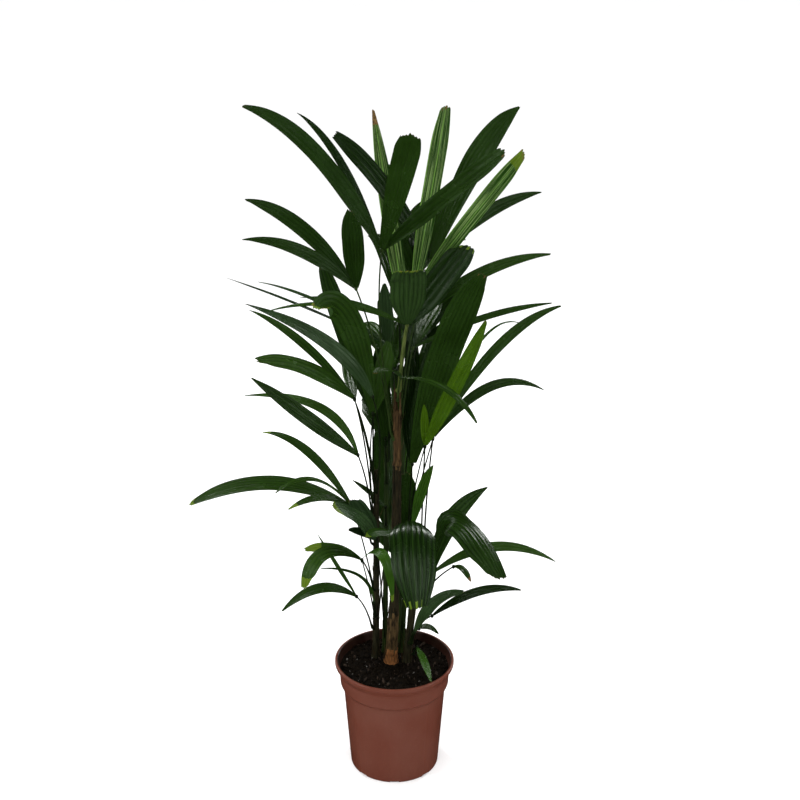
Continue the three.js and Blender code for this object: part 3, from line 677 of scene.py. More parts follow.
# The fronds that face the front and the sides, in the order in which they find their places
FRONDS = (
    Frond("crown_left", "main", 640, (-20, 20, 935), (-95, 25), Tone.DARK, (
        Leaflet(-47, 315, 24, 10, 0.15, 0.12, blunt=0.2, turn=0.6, sag=0.04, broad=1.12, opens=0.28),
        Leaflet(-33, 290, 16, -11, 0.12, 0.05, broad=0.85),
        Leaflet(21, 235, 45, 53, 0, 0.45, shade=2, slant=-0.5, turn=2, reach=1.02, blunt=0.75, broad=0.92,
                opens=0.75, ribs=0.1),
        Leaflet(56, 260, 28, 28, 0.01, 0.6, shade=2, slant=0.2),
        Leaflet(-19, 220, 26, -25, 0.05, 0.3),
    )),
    Frond("crown_right", "main", 665, (60, 90, 900), (-80, 15), Tone.DARK, (
        Leaflet(-37, 260, 28, 8, 0.08, 0.5, shade=0, slant=0),
        Leaflet(-6, 235, 35, -33, 0.05, 0.3),
        Leaflet(32, 280, 41, 12, 0.13, 0.25, slant=-0.6, blunt=0.14, turn=-1, reach=1.02, opens=0.55),
        Leaflet(62, 225, 22, -8, 0.1, 0.3, slant=1, blunt=0.1, reach=1.03),
        Leaflet(26, 210, 35, -37, 0.1, 0.3, reach=0.85),
    )),
    Frond("striped", "main", 690, (30, 35, 855), (-85, 15), Tone.STRIPED, (
        Leaflet(11, 305, 30, 9, 0, 0.6, slant=-0.4, broad=0.92, turn=-0.8),
        Leaflet(36, 310, 28, 31, 0.02, 0.55, end=End.YELLOW, slant=0.8, broad=0.88, turn=0.7),
    )),
    Frond("front", "main", 705, (20, -30, 825), (-90, 35), Tone.MID, (
        Leaflet(-79, 175, 8, 13, 0.08, 0.05),
        Leaflet(-81, 240, 8, -11, 0.1, 0.05),
        Leaflet(-9, 405, 21, -6, 0, 0.15, end=End.BROWN, tone=Tone.STRIPED, turn=1, broad=1.3),
        Leaflet(3, 195, 54, 85, 0.05, 0.7, end=End.PALE, tone=Tone.DARK, shade=0, slant=0),
        Leaflet(41, 140, 29, 23, 0.02, 0.6, end=End.PALE, tone=Tone.DARK, shade=0, broad=1.5, reach=1.15),
        Leaflet(64, 255, 20, 5, 0.1, 0.25, slant=0.6, blunt=0.1),
    )),
    Frond("far_right", "main", 600, (30, 40, 765), (-70, 50), Tone.DARK, (
        Leaflet(85, 250, 13, 14, 0.06, 0.2, sag=0.1),
        Leaflet(39, 180, 27, -21, 0.05, 0.3),
        Leaflet(-2, 100, 28, 20, 0.05, 0.3),
    )),
    Frond("left_high", "main", 620, (-60, -30, 885), (-110, 35), Tone.DARK, (
        Leaflet(-87, 200, 21, 46, 0.12, 0.2, slant=-0.9, blunt=0.1, turn=1, sag=0.08),
        Leaflet(-62, 220, 25, 28, 0.13, 0.15, sag=0.03, broad=0.95),
        Leaflet(6, 140, 41, 53, 0.03, 0.35, slant=0.8, broad=0.88, turn=1.5, reach=1.03),
        Leaflet(-26, 180, 24, -31, 0.05, 0.3),
    )),
    Frond("threads", "left_inner", 560, (-10, 40, 770), (-110, 50), Tone.GREY, (
        Leaflet(-92, 285, 6, 34, 0.02, 0.05, turn=0.8),
        Leaflet(-81, 240, 7, 23, 0.07, 0.05, turn=0.8),
        Leaflet(-1, 110, 23, 58, 0, 0.3),
    )),
    Frond("folded", "left", 540, (-35, 0, 665), (-95, 15), Tone.MID, (
        Leaflet(-19, 260, 31, 9, 0, 0.5),
        Leaflet(-24, 245, 43, 41, 0.34, 0.5, 0.38, end=End.TOUCHED),
        Leaflet(12, 125, 29, 18, 0, 0.4),
    )),
    Frond("split", "left", 520, (-35, -30, 705), (-115, 50), Tone.GREY, (
        Leaflet(-89, 270, 22, 58, 0.17, 0.05, 0.21, turn=-0.8, sag=0.25, broad=1.15),
    )),
    Frond("blunt", "left", 500, (-65, -10, 695), (-115, 50), Tone.MID, (
        Leaflet(-107, 185, 30, 51, 0.11, 0.55, turn=-2.5, broad=0.9),
        Leaflet(-70, 225, 13, 34, 0.08, 0.05, sag=-0.15, broad=1.15),
        Leaflet(-35, 290, 29, -30, 0, 0.4),
    )),
    Frond("middle", "left_inner", 520, (-15, 15, 615), (-100, 20), Tone.DARK, (
        Leaflet(-16, 150, 30, 15, 0, 0.4),
        Leaflet(-5, 160, 30, 16, 0, 0.4),
        Leaflet(-45, 110, 28, -40, 0.1, 0.4),
    )),
    Frond("left_middle", "left", 470, (-60, -20, 600), (-120, 50), Tone.MID, (
        Leaflet(-93, 210, 36, 63, 0.03, 0.4, shade=0, reach=1.13, sag=1.0, blunt=0.12, broad=0.72),
        Leaflet(-82, 225, 16, 18, 0.19, 0.1, 0.17, sag=-0.15),
    )),
    Frond("left_long", "left", 420, (-70, -10, 500), (-115, 60), Tone.MID, (
        Leaflet(-118, 270, 35, 21, 0.17, 0.2, end=End.TOUCHED, shade=1, slant=0.5, sag=0.1, blunt=0.34,
                broad=0.94, reach=1.01, opens=0.5),
        Leaflet(-150, 185, 13, 53, 0.2, 0.2),
        Leaflet(-143, 130, 15, 39, 0.15, 0.2, end=End.YELLOW),
        Leaflet(-74, 200, 16, 31, 0.15, 0.1, end=End.YELLOW, sag=-0.15),
    )),
    Frond("left_low", "left", 380, (-30, -15, 445), (-110, 50), Tone.GREY, (
        Leaflet(-113, 145, 43, 74, 0.1, 0.6, end=End.YELLOW, turn=-3, sag=0.2),
        Leaflet(-121, 70, 17, 55, 0.05, 0.3, turn=8, reach=0.9),
        Leaflet(-50, 95, 30, 61, 0.05, 0.4),
    )),
    Frond("left_droop", "left", 330, (-55, -25, 410), (-100, 60), Tone.MID, (
        Leaflet(-139, 125, 26, 19, 0.35, 0.3, 0.81, end=End.YELLOW, blunt=0.5, turn=-1.5, sag=-0.06),
        Leaflet(-95, 100, 18, 20, 0.14, 0.5, end=End.RIPE, turn=-3),
        Leaflet(148, 135, 15, 20, 0.6, 0.2, 0.96, end=End.TOUCHED, tone=Tone.BRIGHT, sag=0.22, broad=1.2,
                turn=-3),
    )),
    Frond("left_lowest", "left", 250, (-65, -15, 335), (-110, 60), Tone.MID, (
        Leaflet(-129, 135, 21, 20, 0.19, 0.15, sag=-0.15),
        Leaflet(-50, 130, 7, 32, 0, 0.05),
    )),
    Frond("thin", "left", 275, (-35, -20, 325), (-110, 60), Tone.MID, (
        Leaflet(-98, 125, 7, 54, 0.27, 0.2, 0.04),
    )),
    Frond("great", "middle_right", 420, (30, 0, 575), (-75, 15), Tone.DARK, (
        Leaflet(14, 375, 52, 32, 0.11, 0.35, shade=2, ribs=0.4),
        Leaflet(14, 225, 38, 2, 0, 0.3, shade=0),
        Leaflet(5, 190, 35, -8, 0, 0.3, shade=0),
    )),
    Frond("lime", "right", 408, (50, -30, 620), (-70, 20), Tone.LIME, (
        Leaflet(16, 270, 30, 44, 0, 0.2, ribs=0.2),
        Leaflet(-3, 75, 14, 23, 0, 0.2),
    )),
    Frond("arching", "right", 425, (65, 30, 610), (-60, 40), Tone.MID, (
        Leaflet(57, 310, 16, 50, 0.14, 0.2, turn=0.8, broad=1.08, blunt=0.2),
        Leaflet(84, 210, 17, 21, 0.25, 0.1, sag=0.07),
        Leaflet(53, 260, 10, 16, 0.24, 0.05, broad=0.5),
    )),
    Frond("tassel", "main", 690, (10, -50, 745), (-90, 70), Tone.MID, (
        Leaflet(134, 160, 12, 0, 0.16, 0.3, 0.66),
        Leaflet(-151, 105, 25, 38, 0.1, 0.3),
    )),
    Frond("apron", "right", 330, (30, -45, 485), (-80, 60), Tone.DARK, (
        Leaflet(-171, 165, 61, 4, 0.33, 0.5, end=End.PALE, cup=-0.5, shade=0, slant=0, turn=-2.5, reach=1.02,
                blunt=0.5, broad=1.22, opens=0.5),
    )),
    Frond("wing", "right", 340, (65, -5, 375), (-60, 45), Tone.MID, (
        Leaflet(49, 175, 31, 34, 0.26, 0.3, 0.16, slant=0.7, blunt=0.12),
        Leaflet(160, 175, 51, 61, 0.69, 0.35, 0.1, cup=-0.4, tone=Tone.DARK, shade=1, neck=0.42, slant=1,
                sag=0.15, blunt=0.6, broad=1.1, opens=0.55),
        Leaflet(104, 220, 18, 14, 0.2, 0.1, sag=0.1),
    )),
    Frond("bud", "right", 300, (100, -30, 400), (-60, 60), Tone.MID, (
        Leaflet(160, 40, 13, 3, 0.25, 0.3, end=End.BROWN),
    )),
    Frond("right_low", "right", 230, (35, -15, 265), (-60, 50), Tone.GREY, (
        Leaflet(86, 145, 21, 72, 0.23, 0.3, 0.3, sag=0.22),
    )),
    Frond("right_lowest", "right", 250, (65, -20, 300), (-60, 60), Tone.DARK, (
        Leaflet(107, 160, 18, 30, 0.12, 0.2, sag=-0.1),
    )),
    Frond("spear", "main", 400, (30, -20, 470), (-90, 20), Tone.BRIGHT, (
        Leaflet(18, 140, 21, 38, 0.1, 0.08, reach=1.03, shade=1, broad=0.85, turn=-1),
    )),
    Frond("dark_left", "left_inner", 350, (-15, 75, 385), (-90, 10), Tone.DARK, (
        Leaflet(-4, 215, 23, 4, 0, 0.4, shade=1, neck=0.3),
        Leaflet(3, 195, 23, -15, 0, 0.4, shade=1, neck=0.3),
    )),
    Frond("dark_right", "middle_right", 340, (20, 55, 410), (-90, 10), Tone.DARK, (
        Leaflet(-1, 130, 38, 13, 0, 0.6, shade=1),
    )),
    Frond("slip", "left_inner", 440, (-15, 25, 485), (-110, 50), Tone.MID, (
        Leaflet(-71, 75, 9, 40, 0.05, 0.1),
    )),
    Frond("rim", "middle_right", 215, (45, 75, 220), (-60, 60), Tone.DARK, (
        Leaflet(104, 50, 14, -27, 0.3, 0.2, sag=0.4),
    )),
    Frond("seedling", "right", 203, (40, 10, 220), (-60, 60), Tone.BRIGHT, (
        Leaflet(-159, 110, 16, 27, 0.12, 0.2, sag=0.5, broad=0.85),
    )),
    Frond("small", "main", 400, (0, -35, 460), (-100, 60), Tone.BRIGHT, (
        Leaflet(-136, 75, 20, 42, 0.1, 0.3, end=End.YELLOW),
    )),
)

BACK = BackRule((
    Level(345, 98, 80, 205, 32, 165),
    Level(430, 80, 100, 265, 28, 190),
    Level(492, 102, 85, 330, 30, 180),
    Level(562, 84, 115, 390, 28, 205),
    Level(618, 74, 95, 455, 30, 185),
    Level(690, 96, 110, 520, 30, 215),
    Level(742, 70, 90, 575, 30, 195),
    Level(808, 90, 95, 622, 30, 220),
    Level(862, 72, 75, 655, 34, 200),
    Level(910, 94, 62, 682, 34, 215),
))

# Leaflets that the plant has lost, by frond and their place in its row, counted from 0
LOST = {
    "crown_left": (4,),
    "crown_right": (1,),
    "behind_1": (1,),
    "behind_2": (2, 3, 4),
    "behind_3": (0, 1),
    "behind_8": (0,),
    "behind_9": (3,),
    "behind_10": (0, 1, 3),
}


def arithmetic(operation: str, swapped: bool = False) -> Callable[["Value", object], "Value"]:
    """Makes the function of a sign for arithmetic.

    Args:
        operation: Blender's name of the step.
        swapped: Whether its own value comes second.

    Returns:
        The function.
    """

    def step(value: "Value", other: object) -> "Value":
        """Adds the step to the value's tree."""
        return value.tree.maths(operation, *((other, value) if swapped else (value, other)))

    return step


@dataclass(frozen=True)
class Value:
    """A node's output, to which signs such as + and > add further nodes."""

    tree: "Tree"
    socket: bpy.types.NodeSocket

    __add__ = __radd__ = arithmetic("ADD")
    __sub__ = arithmetic("SUBTRACT")
    __rsub__ = arithmetic("SUBTRACT", swapped=True)
    __mul__ = __rmul__ = arithmetic("MULTIPLY")
    __truediv__ = arithmetic("DIVIDE")
    __pow__ = arithmetic("POWER")
    __gt__ = arithmetic("GREATER_THAN")
    __lt__ = arithmetic("LESS_THAN")


class Tree:
    """Short calls for building a node tree, of geometry or of a shader."""

    def __init__(self, tree: bpy.types.NodeTree) -> None:
        """Takes the tree to build in."""
        self.tree = tree

    def put(self, socket: bpy.types.NodeSocket, value: object) -> None:
        """Links a socket to a node's output, or sets it to a plain value.

        Args:
            socket: The input socket.
            value: A node's output or a plain value.
        """
        if isinstance(value, Value):
            self.tree.links.new(value.socket, socket)
        else:
            socket.default_value = value

    def output(self, node: bpy.types.Node, name: str = "") -> Value:
        """Gives a node's output of a name, or else the first that is in use."""
        return Value(self, node.outputs[name] if name else next(s for s in node.outputs if s.enabled))

    def node(
        self, kind: str, inputs: dict[str, object] | None = None, output: str = "", **settings: object
    ) -> Value:
        """Adds a node.

        Args:
            kind: Blender's name of its type, with or without GeometryNode.
            inputs: Outputs or plain values, by the input's name.
            output: The name of the output to give, or nothing for the first in use.
            settings: The node's own settings.

        Returns:
            Its output.
        """
        made = self.tree.nodes.new(kind if "Node" in kind else f"GeometryNode{kind}")
        for name, value in settings.items():
            setattr(made, name, value)
        for name, value in (inputs or {}).items():
            self.put(next(s for s in made.inputs if s.name == name and s.enabled), value)
        return self.output(made, output)

    def maths(self, operation: str, *values: object, kind: str = "ShaderNodeMath") -> Value:
        """Adds a step of arithmetic.

        Args:
            operation: Blender's name of it.
            values: Outputs or plain values, in turn.
            kind: Blender's name of the node's type.

        Returns:
            The result.
        """
        made = self.tree.nodes.new(kind)
        made.operation = operation
        for socket, value in zip([s for s in made.inputs if s.enabled], values):
            self.put(socket, value)
        return self.output(made)

    def vectors(self, operation: str, *values: object) -> Value:
        """Adds a step of arithmetic on vectors, as maths does on numbers."""
        return self.maths(operation, *values, kind="ShaderNodeVectorMath")

    def vector(self, x: object, y: object, z: object) -> Value:
        """Joins three numbers to a vector."""
        return self.node("ShaderNodeCombineXYZ", {"X": x, "Y": y, "Z": z})

    def along(self, axis: str, vector: Value) -> Value:
        """Gives a vector's measure along an axis."""
        return self.node("ShaderNodeSeparateXYZ", {"Vector": vector}, axis)

    def ranged(self, value: Value, span: Span, to: Span = (0, 1), step: str = "LINEAR") -> Value:
        """Maps a span of a number to another, held at both ends."""
        limits = dict(zip(("From Min", "From Max", "To Min", "To Max"), (*span, *to)))
        return self.node("ShaderNodeMapRange", {"Value": value, **limits}, interpolation_type=step)

    def noise(self, where: Value, scale: float, detail: float) -> Value:
        """Adds a soft noise from 0 to 1 at a place."""
        return self.node("ShaderNodeTexNoise", {"Vector": where, "Scale": scale, "Detail": detail}, "Fac")


class GeometryTree(Tree):
    """A geometry node tree that grows a piece on guide lines, with named inputs."""

    sockets = {bool: "NodeSocketBool", int: "NodeSocketInt", float: "NodeSocketFloat"}

    def __init__(self, name: str, sizes: dict[str, object], materials: Sequence[str] = ()) -> None:
        """Starts a tree.

        Args:
            name: The tree's name.
            sizes: The first values of the inputs that are sizes, by name.
            materials: The names of those that are materials.
        """
        super().__init__(bpy.data.node_groups.new(name, "GeometryNodeTree"))
        face = self.tree.interface
        face.new_socket("Geometry", in_out="OUTPUT", socket_type="NodeSocketGeometry")
        face.new_socket("Guides", in_out="INPUT", socket_type="NodeSocketGeometry")
        for label, value in sizes.items():
            socket = face.new_socket(label, in_out="INPUT", socket_type=self.sockets[type(value)])
            socket.default_value = value
        for label in materials:
            face.new_socket(label, in_out="INPUT", socket_type="NodeSocketMaterial")
        self.given = self.tree.nodes.new("NodeGroupInput")

    def __getitem__(self, name: str) -> Value:
        """Gives one of the tree's inputs."""
        return self.output(self.given, name)

    def attributes(self, *names: str, kind: str = "FLOAT") -> list[Value]:
        """Reads values that the geometry's points carry."""
        return [self.node("InputNamedAttribute", {"Name": name}, data_type=kind) for name in names]

    def attribute(self, name: str) -> Value:
        """Reads a number that the geometry's points carry."""
        return self.attributes(name)[0]

    def stored(
        self, geometry: Value, name: str, value: object, kind: str = "FLOAT", domain: str = "POINT"
    ) -> Value:
        """Writes a value on the geometry, under a name."""
        inputs = {"Geometry": geometry, "Name": name, "Value": value}
        return self.node("StoreNamedAttribute", inputs, data_type=kind, domain=domain)

    def curves(self) -> Value:
        """Turns the guide lines into curves."""
        return self.node("MeshToCurve", {"Mesh": self["Guides"]})

    def line(self, start: Point, end: Point, count: object) -> Value:
        """Draws a straight curve of a count of points."""
        line = self.node("CurvePrimitiveLine", {"Start": start, "End": end})
        return self.node("ResampleCurve", {"Curve": line, "Count": count})

    def rods(self, curve: Value, sides: object, radius: Value) -> Value:
        """Sweeps a ring along each curve and closes its ends.

        Args:
            curve: The curves.
            sides: How many sides the ring has.
            radius: The radius at each point.

        Returns:
            The rods.
        """
        ring = self.node("CurvePrimitiveCircle", {"Resolution": sides, "Radius": 1.0})
        inputs = {"Curve": curve, "Profile Curve": ring, "Scale": radius, "Fill Caps": True}
        return self.node("CurveToMesh", inputs)

    def moved(self, geometry: Value, **where: Value) -> Value:
        """Moves points by an Offset or to a Position, all of them or a Selection."""
        return self.node("SetPosition", {"Geometry": geometry, **where})

    def spots(self, surface: Value, density: Value) -> Value:
        """Deals out points on a surface, from the tree's seed."""
        inputs = {"Mesh": surface, "Density": density, "Seed": self["Seed"]}
        return self.node("DistributePointsOnFaces", inputs)

    def chance(self, low: object, high: object, salt: int) -> Value:
        """Gives each point its own number within a span, from the tree's seed."""
        return self.node("FunctionNodeRandomValue", {"Min": low, "Max": high, "Seed": self["Seed"] + salt})

    def strewn(self, points: Value, piece: Value, turns: Value, size: Value) -> Value:
        """Puts a piece of a size on each point, with turns about its axes in radians."""
        where = {"Points": points, "Rotation": self.node("FunctionNodeEulerToRotation", {"Euler": turns})}
        return self.node("InstanceOnPoints", {**where, "Instance": piece, "Scale": size})

    def join(self, *parts: Value) -> Value:
        """Joins geometries, in turn.

        Args:
            parts: The geometries.

        Returns:
            The whole.
        """
        made = self.tree.nodes.new("GeometryNodeJoinGeometry")
        for part in parts:
            self.put(made.inputs[0], part)
        return self.output(made)

    def smooth(self, geometry: Value, sharp_from: float = 0.9) -> Value:
        """Shades a mesh smooth, apart from its sharper edges.

        Args:
            geometry: The mesh.
            sharp_from: The angle from which an edge stays sharp, in radians.

        Returns:
            The mesh.
        """
        soft = self.node("SetShadeSmooth", {"Geometry": geometry})
        sharp = self.node("InputMeshEdgeAngle") > sharp_from
        inputs = {"Geometry": soft, "Selection": sharp, "Shade Smooth": False}
        return self.node("SetShadeSmooth", inputs, domain="EDGE")

    def give(self, geometry: Value) -> "GeometryTree":
        """Ends the tree in a geometry."""
        self.put(self.tree.nodes.new("NodeGroupOutput").inputs[0], geometry)
        return self

    def end(self, geometry: Value, dressed: dict[str, object]) -> "GeometryTree":
        """Ends the tree in Realize Instances and Set Material.

        Args:
            geometry: The last geometry.
            dressed: The faces that take a material, by the name of its input, in turn.

        Returns:
            The tree.
        """
        geometry = self.node("RealizeInstances", {"Geometry": geometry})
        for label, faces in dressed.items():
            inputs = {"Geometry": geometry, "Selection": faces, "Material": self[label]}
            geometry = self.node("SetMaterial", inputs)
        return self.give(geometry)

    def grow(self, source: bpy.types.Object, values: dict[str, object]) -> bpy.types.Object:
        """Runs the tree on an object and keeps the result as a plain mesh.

        Args:
            source: The object, whose name the piece takes.
            values: The tree's inputs by name.

        Returns:
            The piece, a mesh with no modifier.
        """
        modifier = source.modifiers.new("growth", "NODES")
        modifier.node_group = self.tree
        for item in self.tree.interface.items_tree:
            if item.item_type == "SOCKET" and item.in_out == "INPUT" and item.name in values:
                modifier[item.identifier] = values[item.name]
        depsgraph = bpy.context.evaluated_depsgraph_get()
        mesh = bpy.data.meshes.new_from_object(
            source.evaluated_get(depsgraph), preserve_all_data_layers=True, depsgraph=depsgraph
        )
        name = source.name
        bpy.data.objects.remove(source)
        mesh.name = name
        return placed(name, mesh)


def placed(name: str, data: bpy.types.ID) -> bpy.types.Object:
    """Puts a mesh, light or camera in the scene.

    Args:
        name: The object's name.
        data: What it shows.

    Returns:
        The object.
    """
    made = bpy.data.objects.new(name, data)
    bpy.context.scene.collection.objects.link(made)
    return made


class Guides:
    """Polylines whose points carry values, for a node tree to grow a piece on."""

    def __init__(self) -> None:
        """Starts with no line."""
        self.points: list[Array] = []
        self.edges: list[Array] = []
        self.values: dict[str, list[Array]] = {}
        self.count = 0

    def add(self, points: Array, **values: Array | float) -> None:
        """Adds a line.

        Args:
            points: Its points, in millimetres.
            values: By name, one value for each point, or one for them all.
        """
        size = len(points)
        first = np.arange(self.count, self.count + size - 1)
        self.points.append(points * MM)
        self.edges.append(np.stack([first, first + 1], 1))
        for name, value in values.items():
            full = np.asarray(value, float)
            full = full if full.ndim else np.full(size, full)
            self.values.setdefault(name, []).append(full)
        self.count += size

    def object(self, name: str) -> bpy.types.Object:
        """Makes the lines an object.

        Args:
            name: The object's name.

        Returns:
            The object.
        """
        mesh = bpy.data.meshes.new(name)
        mesh.from_pydata(np.vstack(self.points).tolist(), np.vstack(self.edges).tolist(), [])
        for label, parts in self.values.items():
            full = np.concatenate(parts)
            kind, slot = ("FLOAT_VECTOR", "vector") if full.ndim == 2 else ("FLOAT", "value")
            attribute = mesh.attributes.new(label, kind, "POINT")
            attribute.data.foreach_set(slot, full.astype(np.float32).ravel())
        return placed(name, mesh)


class Principled(Tree):
    """A material that is being built around one Principled shader."""

    def __init__(self, name: str, shine: float, tint: Colour = (1, 1, 1)) -> None:
        """Starts a material.

        Args:
            name: Its name.
            shine: How strongly it mirrors light.
            tint: The colour of what it mirrors.
        """
        self.material = bpy.data.materials.new(name)
        self.material.use_nodes = True
        super().__init__(self.material.node_tree)
        self.shader = self.tree.nodes["Principled BSDF"].inputs
        self.shader["Specular IOR Level"].default_value = shine
        self.shader["Specular Tint"].default_value = (*tint, 1)
        self.place = self.node("ShaderNodeTexCoord", output="Object")

    def mix(self, share: Value, low: Value | Colour, high: Value | Colour) -> Value:
        """Mixes two colours by the share of the second."""
        both = [(*value, 1) if isinstance(value, tuple) else value for value in (low, high)]
        return self.node("ShaderNodeMix", {"Factor": share, "A": both[0], "B": both[1]}, data_type="RGBA")

    def stretched(self, *scale: float) -> Value:
        """Gives the place on the object, stretched along its axes."""
        return self.vectors("MULTIPLY", self.place, scale)

    def dressed(
        self, colour: Value, roughness: Value, relief: Value, depth: float, strength: float = 0.8
    ) -> bpy.types.Material:
        """Gives the shader its inputs.

        Args:
            colour: The base colour.
            roughness: The roughness.
            relief: The relief, from 0 to 1.
            depth: Its depth in metres.
            strength: How much of it shows.

        Returns:
            The material.
        """
        bump = self.node("ShaderNodeBump", {"Strength": strength, "Distance": depth, "Height": relief})
        for label, value in (("Base Color", colour), ("Roughness", roughness), ("Normal", bump)):
            self.put(self.shader[label], value)
        return self.material


@dataclass(frozen=True)
class LeafFinish:
    """The finish of a leaf: fine veins along it, a painted highlight along each pleat's crest, painted shade
    in each pleat's valley, mottled greens.
    """

    name: str
    deep: Colour
    fresh: Colour
    vein_and_highlight: Colour
    gloss: Span = (0.18, 0.3)
    vein_scale: Point = (9.0, 0.9, 1.0)
    vein_share: float = 0.26
    vein_span: Span = (0.36, 0.66)
    # Painted highlight: the vein colour along each pleat's crest, how much of it and where it lies across the
    # pleat
    ridge_share: float = 0.35
    ridge_highlight_span: Span = (0.36, 0.5)
    # Painted shade: each pleat's valley darkened to a share of the base, how much of it and where it lies
    # across the pleat
    valley_share: float = 0.75
    valley_shade_span: Span = (0.0, 0.15)
    valley_shade_light: float = 0.3
    mottle_scale: float = 24.0
    mottle_span: Span = (0.3, 0.7)
    mottle_light: Span = (0.72, 1.25)
    vein_relief: float = 0.5
    relief: float = 0.0006
    shine: float = 0.24
    tint: Colour = (0.8, 1.0, 0.75)

    def material(self, shade: float = 0.5) -> bpy.types.Material:
        """Makes the material, which reads the leaf's own map: pleats across, decimetres along.

        Args:
            shade: Where the leaf's plain base colour lies, from 0 for deep to 1 for fresh.

        Returns:
            The material.
        """
        made = Principled(f"{self.name} {round(shade * 100)}", self.shine, self.tint)
        base = [low + (high - low) * shade for low, high in zip(self.deep, self.fresh)]
        dark, light, shadow = (
            tuple(value * share for value in base) for share in (*self.mottle_light, self.valley_shade_light)
        )
        leaf_map = made.node("ShaderNodeUVMap", uv_map="UVMap")
        veins = made.noise(made.vectors("MULTIPLY", leaf_map, self.vein_scale), 1.0, 3.0)
        veins = made.ranged(veins, self.vein_span)
        rise = made.maths("PINGPONG", made.along("X", leaf_map), 0.5)
        ribbed = made.node("ShaderNodeAttribute", output="Fac", attribute_name="ribbed")
        # Painted shade in each pleat's valley and a painted highlight on its crest, as strong as the leaf's
        # ribs
        valley = made.ranged(rise, self.valley_shade_span, (1, 0), step="SMOOTHSTEP") * ribbed
        ridge = made.ranged(rise, self.ridge_highlight_span, step="SMOOTHSTEP") * ribbed
        mottle = made.ranged(made.noise(made.place, self.mottle_scale, 4.0), self.mottle_span)
        green = made.mix(mottle, dark, light)
        green = made.mix(veins * self.vein_share, green, self.vein_and_highlight)
        green = made.mix(ridge * self.ridge_share, green, self.vein_and_highlight)
        green = made.mix(valley * self.valley_share, green, shadow)
        roughness = made.ranged(mottle, (0, 1), self.gloss)
        return made.dressed(green, roughness, veins * self.vein_relief + rise * ribbed, self.relief)


@dataclass(frozen=True)
class GrainFinish:
    """A finish of two colours in a grain that may be drawn out along one axis, with its relief."""

    name: str
    dark: Colour
    light: Colour
    grain: Point
    rough: Span
    relief: float
    detail: float = 4.0
    contrast: Span = (0.32, 0.68)
    gloss: float = 0.4

    def material(self) -> bpy.types.Material:
        """Makes the material.

        Returns:
            The material.
        """
        made = Principled(self.name, self.gloss)
        grain = made.ranged(made.noise(made.stretched(*self.grain), 1.0, self.detail), self.contrast)
        colour = made.mix(grain, self.dark, self.light)
        return made.dressed(colour, made.ranged(grain, (0, 1), self.rough), grain, self.relief)


@dataclass(frozen=True)
class PotFinish:
    """Moulded brown plastic: satin, with faint turning lines, dust and worn patches, and inside a peat stain
    that is also painted shade.
    """

    name: str = "pot plastic"
    body: Colour = from_screen(96, 49, 36)
    worn: Colour = from_screen(109, 62, 47)
    worn_scale: float = 14.0
    worn_span: Span = (0.35, 0.7)
    worn_share: float = 0.5
    dust: Colour = from_screen(122, 80, 62)
    dust_scale: float = 420.0
    dust_span: Span = (0.62, 0.75)
    dust_share: float = 0.35
    # Inside the pot: a peat stain that is also painted shade, and where it reaches
    peat: Colour = from_screen(26, 15, 9)
    peat_and_shade_share: Span = (1, 0.8)
    inner_taper: float = -0.27
    inner_radius: Span = (0.0456, 0.0466)
    lines: Point = (3, 3, 900)
    relief: float = 0.00008
    relief_share: float = 0.5
    rough: Span = (0.3, 0.44)
    gloss: float = 0.3

    def material(self) -> bpy.types.Material:
        """Makes the material.

        Returns:
            The material.
        """
        made = Principled(self.name, self.gloss)
        cloud = made.ranged(made.noise(made.place, self.worn_scale, 5.0), self.worn_span)
        speck = made.ranged(made.noise(made.place, self.dust_scale, 2.0), self.dust_span)
        plastic = made.mix(cloud * self.worn_share, self.body, self.worn)
        plastic = made.mix(speck * self.dust_share, plastic, self.dust)
        # Inside the pot the plastic turns to the peat colour: a peat stain and painted shade in the pot's
        # hollow
        off_axis = made.vectors("LENGTH", made.stretched(1, 1, 0))
        at_foot = made.along("Z", made.place) * self.inner_taper + off_axis
        peat_stain_and_shade = made.ranged(at_foot, self.inner_radius, (1, 0))
        colour = made.mix(peat_stain_and_shade * made.ranged(cloud, (0, 1), self.peat_and_shade_share), plastic, self.peat)
        roughness = made.ranged(cloud, (0, 1), self.rough)
        lines = made.noise(made.stretched(*self.lines), 1.0, 1.0)
        return made.dressed(colour, roughness, lines, self.relief, self.relief_share)


def leaf(name: str, deep: Colour, fresh: Colour, vein_and_highlight: Colour, **settings: object) -> LeafFinish:
    """Makes a leaf's finish from screen colours."""
    return LeafFinish(f"leaf {name}", *(from_screen(*colour) for colour in (deep, fresh, vein_and_highlight)), **settings)


def grain(name: str, dark: Colour, light: Colour, *settings: object, **more: object) -> GrainFinish:
    """Makes a grained finish from screen colours."""
    return GrainFinish(name, from_screen(*dark), from_screen(*light), *settings, **more)


